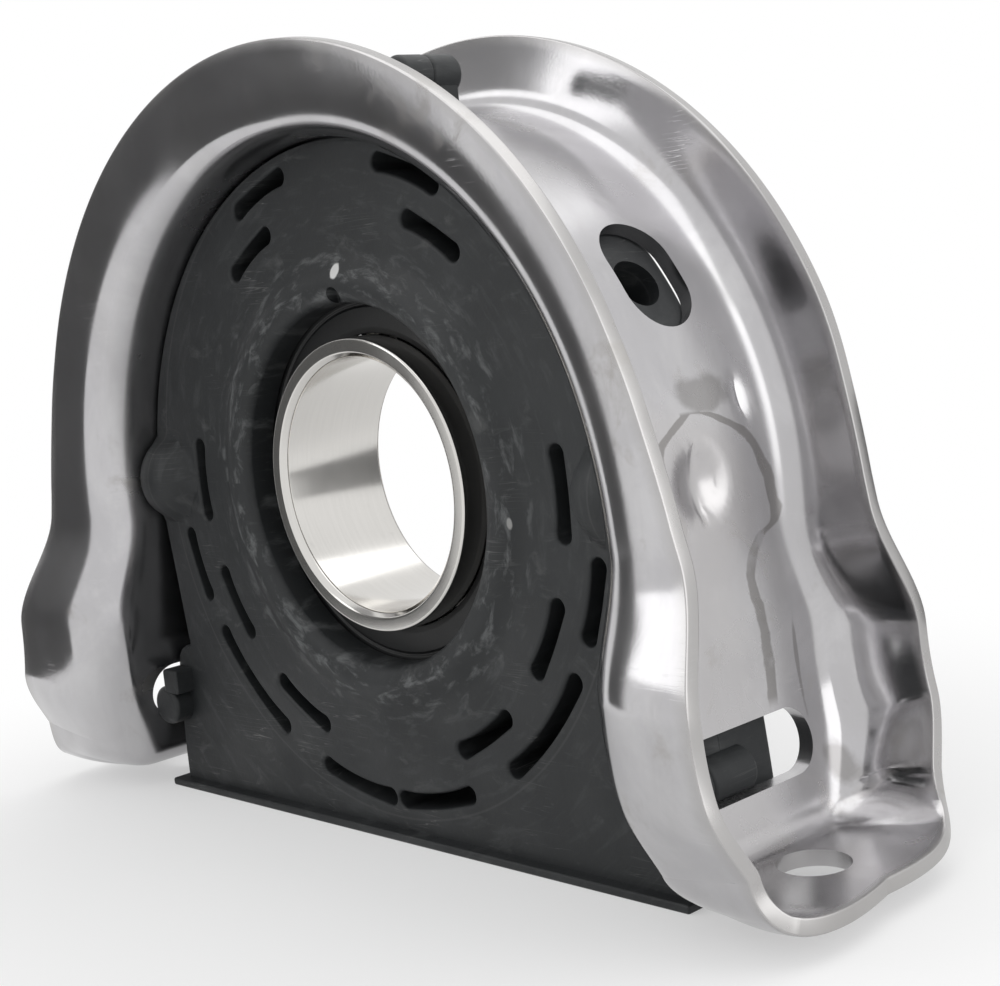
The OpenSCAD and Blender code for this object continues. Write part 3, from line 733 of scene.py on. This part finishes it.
normals = sheet_normals(skin)
ahead = skin[:, -1] - skin[:, -2]
ahead /= np.linalg.norm(ahead, axis=1, keepdims=True)
rim_n = normals[:, -1]
inner_rim, outer_rim = skin[:, -1].copy(), skin[:, -1] + SHEET_T * rim_n
corner = 0.29 * EDGE_ROUND  # from a corner to the middle of its rounding, each way
edge_loops = [inner_rim + corner * (rim_n - ahead), inner_rim + EDGE_ROUND * rim_n,
              outer_rim - EDGE_ROUND * rim_n, outer_rim - corner * (rim_n + ahead)]

# the flange's points stop short of the rim, where the rounded edge starts
inner = skin.copy()
for line in inner:
    rise = line[FLAT_COLS:]
    run = np.concatenate([[0], np.cumsum(np.linalg.norm(np.diff(rise, axis=0), axis=1))])
    short = run * (1 - EDGE_ROUND / run[-1])
    line[FLAT_COLS:] = np.stack([np.interp(short, run, rise[:, axis]) for axis in range(3)], 1)
outer = inner + SHEET_T * sheet_normals(inner)

columns = [inner[:, j] for j in range(inner.shape[1])] + edge_loops
columns += [outer[:, j] for j in range(outer.shape[1] - 1, -1, -1)]
points = np.stack(columns, axis=1).reshape(-1, 3)
sheet = mesh_of("bracket", points, grid_faces(LOOP_N, len(columns), closed_cols=False))
print("the sheet has", len(sheet.vertices), "points")

# %% [markdown]
# Holes come last, as in the press shop: one bolt hole in each foot, a window in each leg
# and at the top for the rubber's rolls, and one oval hole on each side of the arch. One
# boolean with all the punches joined is quicker than seven cuts in a row.

# %% Punch the holes
BOLT_D, WINDOW_L, WINDOW_W, WINDOW_Z = 15.4, 47.0, 14.0, FOOT_Z + 22.0
OVAL_L, OVAL_W, OVAL_TURN, OVAL_Y = 26.4, 18.6, math.radians(33.5), 6.0
HOOK_SPACING, HOOK_R, HOOK_L, HOOK_ROOM = 37.0, 4.5, 17.0, 4.0
PUNCH_H, WINDOW_PUNCH_H = 24.0, 30.0


def through_arch(side, radius):
    """The place where a hole goes through the arch, with Z along the hole."""
    swing = (Matrix.Rotation(-side * OVAL_TURN, 4, "Y")
             @ Matrix.Translation((side * radius, OVAL_Y, 0)) @ Matrix.Rotation(math.pi / 2, 4, "Y"))
    return Matrix.Translation((0, 0, ARCH_Z)) @ swing


lie = Matrix.Rotation(math.pi / 2, 4, "Z") @ Matrix.Rotation(math.pi / 2, 4, "X")
punches = []
for side in (1, -1):
    bolt = Matrix.Translation((side * BOLT_X, 0, FOOT_Z))
    window = Matrix.Translation((side * WEB_R, 0, WINDOW_Z)) @ lie
    punches.append(prism(round_hole(BOLT_D, 40), bolt, PUNCH_H))
    punches.append(prism(round_bar(WINDOW_L, WINDOW_W), window, WINDOW_PUNCH_H))
    punches.append(prism(round_bar(OVAL_L, OVAL_W), through_arch(side, WEB_R), PUNCH_H))
punches.append(prism(round_bar(HOOK_SPACING + 2 * HOOK_R + HOOK_ROOM, HOOK_L + HOOK_ROOM),
                     Matrix.Translation((0, 0, ARCH_Z + WEB_R)), WINDOW_PUNCH_H))
sheet = cut(sheet, joined("punches", punches))

# %% Mark the cut edge and finish the bracket
WORN_REACH, WORN_FADE = 2.6, 1.2
at = np.empty(len(sheet.vertices) * 3)
sheet.vertices.foreach_get("co", at)
at = at.reshape(-1, 3)
middle = (inner_rim + outer_rim) / 2
near = np.empty(len(at))
for chunk in np.array_split(np.arange(len(at)), 60):
    gaps = at[chunk][:, None, :] - middle[None, :, :]
    near[chunk] = np.sqrt((gaps ** 2).sum(2).min(1))
worn = np.clip((WORN_REACH - near) / WORN_FADE, 0, 1)
marks = sheet.attributes.new("cut_edge", "FLOAT", "POINT")
marks.data.foreach_set("value", worn.astype(np.float32))
piece("bracket_sheet", sheet, "housing", steel, ["bracket"])

# %% [markdown]
# ## The rubber cushion
#
# The cushion is one moulding: two equal faces with many slots, and walls between them.
# Blender can extrude a curve with holes, but then its faces stay flat. Here the front
# face is a triangulated sheet with a height for every point, so the roll round the
# bearing, the two bulges and the rounded lips of all slots are true shapes. The rear
# face is the same sheet mirrored, and each outline gets a wall from front to rear.

# %% Outlines of the cushion
RUBBER_HALF, RUBBER_R = 16.0, 85.7
BASE_Z, BASE_HALF, LIP_OUT, LIP_T = -84.3, 92.5, 3.0, 2.0
MOUTH_R, ROLL_H, ROLL_W = 42.6, 2.6, 9.0
# up the right side from the base, close to the leg, and how much each corner is rounded
RIGHT_SIDE = [(BASE_HALF - LIP_OUT, BASE_Z), (BASE_HALF - LIP_OUT, -74.0), (88.6, -62.0), (86.9, -45.0)]
SIDE_ROUNDS = [0.5, 4, 6, 6]
OUTLINE_STEP = 1.9
SLOT_W, SLOT_WAIST = 4.2, 0.14
# the slots of the right half: their turns in degrees, and the radius of each row
INNER_ROW = [(52.5, 66.5), (-36.5, -22.0), (-67.0, -51.5), (-7.5, 7.5)]
OUTER_ROW = [(62.0, 76.0), (-23.5, -11.5), (-56.0, -32.5), (-88.0, -70.0)]
ROWS = [(65.0, INNER_ROW), (75.0, OUTER_ROW)]


def evenly(loop, step):
    """A closed loop with points about a step apart."""
    loop = np.array(loop)
    out = []
    for a, b in zip(loop, np.roll(loop, -1, axis=0)):
        n = max(1, int(round(np.linalg.norm(b - a) / step)))
        out += [a + (b - a) * s for s in np.linspace(0, 1, n, endpoint=False)]
    return np.array(out)


def at_turn(r, a, centre=(0.0, 0.0)):
    """A point at a radius and an angle from a centre."""
    return centre[0] + r * math.cos(a), centre[1] + r * math.sin(a)


def slot_loop(r, low, high):
    """A curved slot, a little narrower in its middle than at its round ends."""
    low, high = math.radians(low), math.radians(high)

    def side(sign):
        out = []
        for a in np.linspace(low, high, 20):
            s = abs(2 * (a - low) / (high - low) - 1)
            out.append(at_turn(r + sign * SLOT_W / 2 * (1 - SLOT_WAIST + SLOT_WAIST * s ** 3), a))
        return out

    def end(a, start):
        return [at_turn(SLOT_W / 2, a + start + b, at_turn(r, a))
                for b in np.linspace(0, math.pi, 10)[1:-1]]

    return np.array(side(1) + end(high, 0.0) + side(-1)[::-1] + end(low, math.pi))


arch = [at_turn(RUBBER_R, a, (0.0, ARCH_Z)) for a in np.linspace(0, math.pi, 140)]
foot = rounded([(-x, z) for x, z in RIGHT_SIDE[::-1]] + RIGHT_SIDE, SIDE_ROUNDS[::-1] + SIDE_ROUNDS)
outline = evenly(arch + [tuple(p) for p in foot], OUTLINE_STEP)
mouth = np.array([at_turn(MOUTH_R, a) for a in np.linspace(0, 2 * math.pi, 180, endpoint=False)])
slots = [slot_loop(r, a, b) for r, row in ROWS for low, high in row
         for a, b in ((low, high), (180 - high, 180 - low))]
loops = [outline, mouth] + slots
print("the cushion's face has", len(slots), "slots")

# %% [markdown]
# A constrained Delaunay triangulation fills the face between its outlines. Rows of
# points close to each outline let the edge roll over smoothly. A point's height is a sum:
# the roll, the bulges, and the drop near an edge, which is a quarter circle.

# %% Fill the face and give it its height
LIPS = [1.2, 1.6] + [0.9] * len(slots)  # rounding of each outline
LIP_ROWS = (0.07, 0.3, 0.62, 1.0)  # rows of points, as shares of the rounding
LIP_ROOM = 1.3
POINT_STEP = 2.1
ROLL_FOOT = 2.5
BULGE_R, BULGE_X, BULGE_BACK = 12.0, 79.7, 5.0


def inside(points, loop):
    """Which points lie inside a closed loop."""
    x, z = points[:, 0], points[:, 1]
    hits = np.zeros(len(points), bool)
    for a, b in zip(loop, np.roll(loop, -1, axis=0)):
        crosses = (a[1] > z) != (b[1] > z)
        with np.errstate(divide="ignore", invalid="ignore"):
            at_x = (b[0] - a[0]) * (z - a[1]) / (b[1] - a[1]) + a[0]
        hits ^= crosses & (x < at_x)
    return hits


def gap_to(points, loop):
    """Distance of each point to a closed loop's sides."""
    a, d = loop, np.roll(loop, -1, axis=0) - loop
    out = np.empty(len(points))
    for rows in np.array_split(np.arange(len(points)), max(1, len(points) // 2000)):
        rel = points[rows][:, None, :] - a[None]
        t = np.clip((rel * d[None]).sum(2) / (d * d).sum(1)[None], 0, 1)
        out[rows] = np.sqrt(((rel - t[..., None] * d[None]) ** 2).sum(2).min(1))
    return out


def beside(loop, distance):
    """A loop moved sideways, to both sides."""
    way = np.roll(loop, -1, axis=0) - np.roll(loop, 1, axis=0)
    side = np.stack([way[:, 1], -way[:, 0]], 1) / np.linalg.norm(way, axis=1)[:, None]
    return np.concatenate([loop + side * distance, loop - side * distance])


def in_face(points):
    """Which points lie inside the outline and outside every hole."""
    keep = inside(points, outline)
    for loop in loops[1:]:
        keep &= ~inside(points, loop)
    return keep


grid_x = np.arange(-BASE_HALF, BASE_HALF, POINT_STEP)
grid_z = np.arange(BASE_Z, RUBBER_R, POINT_STEP * math.sqrt(3) / 2)
scatter = np.array([(x + (row % 2) * POINT_STEP / 2, z)
                    for row, z in enumerate(grid_z) for x in grid_x])
clear = np.min([gap_to(scatter, loop) - LIP_ROOM * lip for loop, lip in zip(loops, LIPS)], axis=0)
rims = [beside(loop, lip * part) for loop, lip in zip(loops, LIPS) for part in LIP_ROWS]
spread = np.concatenate([scatter[clear > 0]] + rims)
spread = spread[in_face(spread)]

flat_points, bounds_of, sides = [], [], []
for loop in loops:
    first = len(flat_points)
    flat_points += [tuple(p) for p in loop]
    bounds_of.append(range(first, len(flat_points)))
    sides += [(first + i, first + (i + 1) % len(loop)) for i in range(len(loop))]
flat_points += [tuple(p) for p in spread]
filled = delaunay_2d_cdt([Vector(p) for p in flat_points], sides, [], 0, 1e-5)
face_points = np.array([tuple(v) for v in filled[0]])
where_now = {ids[0]: new for new, ids in enumerate(filled[3]) if ids}
triangles = np.array(filled[2])
triangles = triangles[in_face(face_points[triangles].mean(1))]

drop = np.zeros(len(face_points))
for loop, lip in zip(loops, LIPS):
    inner_part = np.clip(lip - gap_to(face_points, loop), 0, lip)
    drop = np.maximum(drop, lip - np.sqrt(lip ** 2 - inner_part ** 2))
radius = np.hypot(face_points[:, 0], face_points[:, 1])
off_roll = (radius - MOUTH_R - ROLL_W / 2) / (ROLL_W / 2 + ROLL_FOOT)
roll = ROLL_H * np.clip(1 - off_roll ** 2, 0, None) ** 2
from_bulge = np.hypot(np.abs(face_points[:, 0]) - BULGE_X, face_points[:, 1])
bulge = np.clip(np.sqrt(np.clip(BULGE_R ** 2 - from_bulge ** 2, 0, None)) - BULGE_BACK, 0, None)
height = RUBBER_HALF + roll + bulge - drop
print("the face has", len(triangles), "triangles, and stands", round(float(height.max()), 1), "mm out")

# %% Build the walls and close the cushion
SEAT_R, SEAT_HALF = 47.8, 9.3
SEAM, SEAM_H, SEAM_END = 0.25, 0.22, BASE_Z + 14
DIP_R, DIP_DEPTH = 9.5, 2.4  # the hollow behind each dimple of the bracket
HALF_ROWS = [SEAM, SEAM * 2, 3.0, 6.0, 9.0, 14.0]
count = len(face_points)
front = np.stack([face_points[:, 0], -height, face_points[:, 1]], 1)
rear = front * (1, -1, 1)
points = [*front, *rear]
faces = [tuple(t) for t in triangles] + [tuple(t + count) for t in triangles]


def outer_rows(loop):
    """The outer wall, with the fine mould seam and the hollows behind the dimples."""
    rows = []
    for y in [-v for v in HALF_ROWS[::-1]] + [0.0] + HALF_ROWS:
        row = []
        for p in loop:
            press = DIP_DEPTH * max(0.0, 1 - (y / DIP_R) ** 2 - (p[1] / DIP_R) ** 2)
            out = SEAM_H if y == 0.0 and p[1] > SEAM_END else 0.0
            spot = p + unit(p - np.array([0.0, ARCH_Z])) * (out - press)
            row.append((spot[0], y, spot[1]))
        rows.append(row)
    return rows


def mouth_rows(loop):
    """The mouth, which widens to the seat of the bearing's outer ring."""
    return [[(p[0] * r / MOUTH_R, y, p[1] * r / MOUTH_R) for p in loop]
            for r, y in ((MOUTH_R, -SEAT_HALF), (SEAT_R, -SEAT_HALF),
                         (SEAT_R, SEAT_HALF), (MOUTH_R, SEAT_HALF))]


def slot_rows(loop):
    return [[(p[0], y, p[1]) for p in loop] for y in (-RUBBER_HALF / 2, 0.0, RUBBER_HALF / 2)]


def wall(ids, rows):
    """Quads from the front to the rear along one outline, by rows of points."""
    base = len(points)
    n = len(ids)
    for row in rows:
        points.extend(row)
    stack = [list(ids)] + [[base + r * n + i for i in range(n)] for r in range(len(rows))]
    stack.append([i + count for i in ids])
    for low, high in zip(stack, stack[1:]):
        faces.extend((low[i], low[(i + 1) % n], high[(i + 1) % n], high[i]) for i in range(n))


rows_of = [outer_rows, mouth_rows] + [slot_rows] * len(slots)
for loop, old_ids, make_rows in zip(loops, bounds_of, rows_of):
    wall([where_now[i] for i in old_ids], make_rows(loop))
cushion = mesh_of("rubber_cushion", points, faces)

# %% [markdown]
# Two things are cut out of the moulding: a blind hole behind each oval hole of the
# bracket, and a small keyhole notch at the top of the front roll.

# %% Cut the blind holes and the notch
BLIND_D, BLIND_H = 11.5, 18.0
NOTCH_D, NOTCH_Y, NOTCH_H = 4.6, -17.0, 4.0
NOTCH_Z = MOUTH_R + NOTCH_D / 3
NECK_HALF, NECK_LOW, NECK_TOP, NECK_H = 1.4, -4.0, 0.6, 4.4

drills = [prism(round_hole(BLIND_D), through_arch(side, RUBBER_R), BLIND_H) for side in (1, -1)]
upright = Matrix.Translation((0.0, NOTCH_Y, NOTCH_Z)) @ Matrix.Rotation(math.pi / 2, 4, "X")
drills.append(prism(round_hole(NOTCH_D), upright, NOTCH_H))
neck = [(-NECK_HALF, NECK_LOW), (NECK_HALF, NECK_LOW), (NECK_HALF, NECK_TOP), (-NECK_HALF, NECK_TOP)]
drills.append(prism(neck, upright, NECK_H))
for tool in drills:
    cushion = cut(cushion, tool)
piece("cushion_moulding", cushion, "housing", rubber, ["rubber_cushion"])

# %% [markdown]
# Small parts of the same moulding stand out of it: two hooks through the top of the
# arch, a roll and a block in each leg's window, and a thin lip round the base. A roll is
# a lathe shape with rounded ends and the fine groove where the two mould halves met.

# %% Rolls, hooks and the base lip
HOOK_RISE, STEM_HALF_X, STEM_HALF_Y, STEM_H = 5.0, 3.5, 7.5, 18.0
LOCK_X, LOCK_Y, LOCK_DROP, LOCK_R, LOCK_L = 87.5, -7.5, 3.5, 5.2, 28.0
BLOCK_X, BLOCK_Y, BLOCK_H = (81.0, 87.2), (-21.5, -10.0), 6.6
END_ROUND, BLOCK_ROUND, LIP_ROUND = 1.4, 0.8, 0.6


def roll_along_shaft(x, z, r, length, middle=0.0, steps=40):
    """A rubber roll along the shaft with round ends and a parting groove."""
    half = length / 2
    ends = [(r - END_ROUND * (1 - math.cos(a)), half - END_ROUND * (1 - math.sin(a)))
            for a in np.linspace(0, math.pi / 2, 6)]
    groove = [(r * 0.88, 0.0), (r * 0.96, 0.35), (r, 0.9)]
    upper = [(0.001, half)] + (groove + ends)[::-1]
    whole = upper + [(q, -y) for q, y in upper[-2::-1]]
    points = [(x + q * math.cos(a), middle + y, z + q * math.sin(a)) for q, y in whole
              for a in np.linspace(0, 2 * math.pi, steps, endpoint=False)]
    faces = grid_faces(len(whole), steps, closed_rows=False)
    faces += [tuple(range(steps)), tuple(range((len(whole) - 1) * steps, len(whole) * steps))]
    return mesh_of("roll", points, faces)


def soft_block(low, high, radius):
    """A block with rounded edges between two corners."""
    low, high = Vector(low), Vector(high)
    bm = bmesh.new()
    bmesh.ops.create_cube(bm, size=1.0)
    bmesh.ops.transform(bm, matrix=Matrix.Translation((low + high) / 2)
                        @ Matrix.Diagonal((*(high - low), 1.0)), verts=bm.verts)
    bmesh.ops.bevel(bm, geom=bm.edges, offset=radius, segments=3, profile=0.5, affect="EDGES")
    mesh = bpy.data.meshes.new("block")
    bm.to_mesh(mesh)
    bm.free()
    return mesh


hook_x = HOOK_SPACING / 2
hook_z = ARCH_Z + math.sqrt((WEB_R + SHEET_T) ** 2 - hook_x ** 2) + HOOK_RISE + HOOK_R
parts = []
for x in (hook_x, -hook_x):
    parts.append(roll_along_shaft(x, hook_z, HOOK_R, HOOK_L))
    parts.append(soft_block((x - STEM_HALF_X, -STEM_HALF_Y, hook_z - STEM_H),
                            (x + STEM_HALF_X, STEM_HALF_Y, hook_z), BLOCK_ROUND))
piece("cushion_hooks", joined("cushion_hooks", parts), "housing", rubber)

parts = [roll_along_shaft(side * LOCK_X, WINDOW_Z - LOCK_DROP, LOCK_R, LOCK_L, LOCK_Y)
         for side in (1, -1)]
for side in (1, -1):
    x = sorted(side * v for v in BLOCK_X)
    parts.append(soft_block((x[0], BLOCK_Y[0], WINDOW_Z), (x[1], BLOCK_Y[1], WINDOW_Z + BLOCK_H),
                            BLOCK_ROUND))
piece("cushion_side_rolls", joined("cushion_side_rolls", parts), "housing", rubber)

lip = soft_block((-BASE_HALF, -RUBBER_HALF - LIP_OUT, BASE_Z),
                 (BASE_HALF, RUBBER_HALF + LIP_OUT, BASE_Z + LIP_T), LIP_ROUND)
piece("cushion_base_lip", lip, "housing", rubber)

# %% [markdown]
# ## The bearing
#
# The rings and seals are turned parts, so each is one profile spun about the shaft, with
# its corners rounded as a grinder leaves them. The groove for the balls is part of the
# ring's profile. The balls, the cage and its rivets keep their solids.

# %% Spin the rings and seals
RING_HALF, BORE_R, SHOULDER_R = 15.7, 30.0, 34.55
PITCH_R, RACE_R = 38.75, 5.6975
BORE_CUT, RIM_CUT, TURNED_ROUND = 1.3, 0.4, 0.4
half_race = math.sqrt(RACE_R ** 2 - (PITCH_R - SHOULDER_R) ** 2)
groove = [(PITCH_R - math.sqrt(RACE_R ** 2 - y * y), y) for y in np.linspace(half_race, -half_race, 17)]
bore = rounded([(BORE_R, RING_HALF - BORE_CUT), (BORE_R, -RING_HALF + BORE_CUT),
                (BORE_R + BORE_CUT, -RING_HALF), (SHOULDER_R - RIM_CUT, -RING_HALF),
                (SHOULDER_R, -RING_HALF + RIM_CUT)], TURNED_ROUND)
top = rounded([(SHOULDER_R, RING_HALF - RIM_CUT), (SHOULDER_R - RIM_CUT, RING_HALF),
               (BORE_R + BORE_CUT, RING_HALF), (BORE_R, RING_HALF - BORE_CUT)], TURNED_ROUND)
ring = [tuple(p) for p in bore] + groove[::-1] + [tuple(p) for p in top]
piece("bearing_inner_ring", spin("inner_ring", ring, 256), "inner_ring",
      ring_steel, ["inner_ring"], sharp=28.0)

OUTER_HALF, SEAL_T, SEAL_BACK, SEAL_R = 9.0, 1.5, 0.4, 44.35
SEAL_FACE_R, SEAL_GROOVE_R, SEAL_LOW, SEAL_ROUND = 36.2, 41.5, 1.1, 0.25
LIP_R, LIP_W, LIP_BACK = SHOULDER_R + 0.2, 1.8, 0.4
seal_y = OUTER_HALF - SEAL_T - SEAL_BACK
seal_profile = [(LIP_R, LIP_BACK), (LIP_R + LIP_W, 0.0), (SEAL_R, 0.0), (SEAL_R, SEAL_T),
                (SEAL_GROOVE_R + 0.5, SEAL_T), (SEAL_GROOVE_R + 0.2, SEAL_LOW),
                (SEAL_GROOVE_R - 0.2, SEAL_LOW), (SEAL_GROOVE_R - 0.5, SEAL_T),
                (SEAL_FACE_R, SEAL_T), (LIP_R, SEAL_LOW)]
for name, way in (("front_seal", -1), ("rear_seal", 1)):
    turned = [(r, way * (seal_y + y)) for r, y in rounded(seal_profile, SEAL_ROUND, 3)]
    piece("lip_" + name, spin(name, turned), "housing", seal_rubber, [name])

KEPT_FINISH = {"ball": ball_steel, "cage": cage_steel, "outer": ring_steel}
for name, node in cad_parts.items():
    finish = KEPT_FINISH.get(name.split("_")[0])
    if finish:
        coat(node.data, finish)
print("balls, cage and outer ring keep their solids")

# %% [markdown]
# ## Floor and light
#
# A plain pale floor fades into a white surround, so no horizon shows. Near the part the
# floor is matt, but two fifths of it glow for the camera and in reflections: a painted
# light that lightens its shadow there. Further out it glows white for the camera and in
# reflections. Bare metal lives from what it mirrors, so large soft lamps stand above and
# beside it. A few grey cards give the flanges and the bore their dark bands, as the unlit
# side of a room does. Only mirrors show the cards: they cast no shadow.

# %% Floor, surround and lamps
SURROUND = 0.62  # how bright the white surround is as a lamp
FLOOR = 6.0  # half the floor's side, in metres
LAMP_TARGET = Vector((0.02, 0.0, 0.0))


def seen_or_mirrored(tree):
    """1 for rays from the camera and for mirrored or passed-on rays, 0 for others."""
    path = make(tree, "ShaderNodeLightPath").outputs
    return any_of([path["Is Camera Ray"], path["Is Glossy Ray"], path["Is Transmission Ray"]])


world = bpy.data.worlds.new("surround")
scene.world = world
world.use_nodes = True
t = world.node_tree
glow = t.nodes["Background"]
glow.inputs["Color"].default_value = (1, 1, 1, 1)
level_now = calc("ADD", times(seen_or_mirrored(t), 1 - SURROUND), SURROUND)
t.links.new(level_now, glow.inputs["Strength"])

floor_finish, t, shader = finish_of("pale_floor")
shader.inputs["Base Color"].default_value = (0.9, 0.9, 0.9, 1)
shader.inputs["Roughness"].default_value = 0.9
shader.inputs["Specular IOR Level"].default_value = 0.1
far = vector_calc("LENGTH", place_of(t))["Value"]
# painted light: near the part two fifths of the floor glow for the camera and in reflections, which
# lightens its shadow; further out it is all glow
fade = times(span(far, 0.1, 0.25, 0.4, 1.0), seen_or_mirrored(t))
white = make(t, "ShaderNodeEmission", Color=(1, 1, 1, 1), Strength=1.0)
both = make(t, "ShaderNodeMixShader", _0=fade, _1=shader.outputs[0], _2=white.outputs[0])
t.links.new(both.outputs[0], t.nodes["Material Output"].inputs["Surface"])
floor_mesh = bpy.data.meshes.new("floor")
corners = [(-FLOOR, -FLOOR, 0), (FLOOR, -FLOOR, 0), (FLOOR, FLOOR, 0), (-FLOOR, FLOOR, 0)]
floor_mesh.from_pydata(corners, [], [(0, 1, 2, 3)])
floor_mesh.materials.append(floor_finish)
floor = add("floor", floor_mesh)
floor.location.z = BASE_Z * MM


def lamp(name, place, size, watts):
    """A soft lamp that looks at the part."""
    data = bpy.data.lights.new(name, "AREA")
    data.shape = "RECTANGLE"
    data.size, data.size_y = size
    data.energy = watts
    obj = add(name, data)
    obj.location = place
    obj.rotation_euler = (LAMP_TARGET - Vector(place)).to_track_quat("-Z", "Y").to_euler()


lamp("top_softbox", (0.1, 0.1, 1.0), (1.3, 1.3), 5.0)
lamp("left_softbox", (-0.75, -0.7, 0.55), (0.7, 0.7), 1.7)
lamp("right_softbox", (0.95, 0.25, 0.32), (0.6, 0.8), 1.7)


def card(name, start, end, low, high, tone):
    """An upright grey card between two places, in metres, that only mirrors show."""
    mesh = bpy.data.meshes.new(name)
    mesh.from_pydata([(*start, low), (*end, low), (*end, high), (*start, high)], [], [(0, 1, 2, 3)])
    finish, _, shader = finish_of(name)
    shader.inputs["Base Color"].default_value = (tone, tone, tone, 1)
    mesh.materials.append(finish)
    obj = add(name, mesh)
    obj.visible_camera = obj.visible_shadow = obj.visible_diffuse = False


card("front_card", (-0.17, -0.189), (-0.24, -0.099), BASE_Z * MM, 0.12, 0.12)
card("high_card", (-0.17, -0.189), (-0.24, -0.099), 0.12, 0.26, 0.35)
card("ring_card", (0.06, 0.12), (0.15, 0.12), -0.05, 0.02, 0.3)
scene.view_settings.view_transform = "Standard"
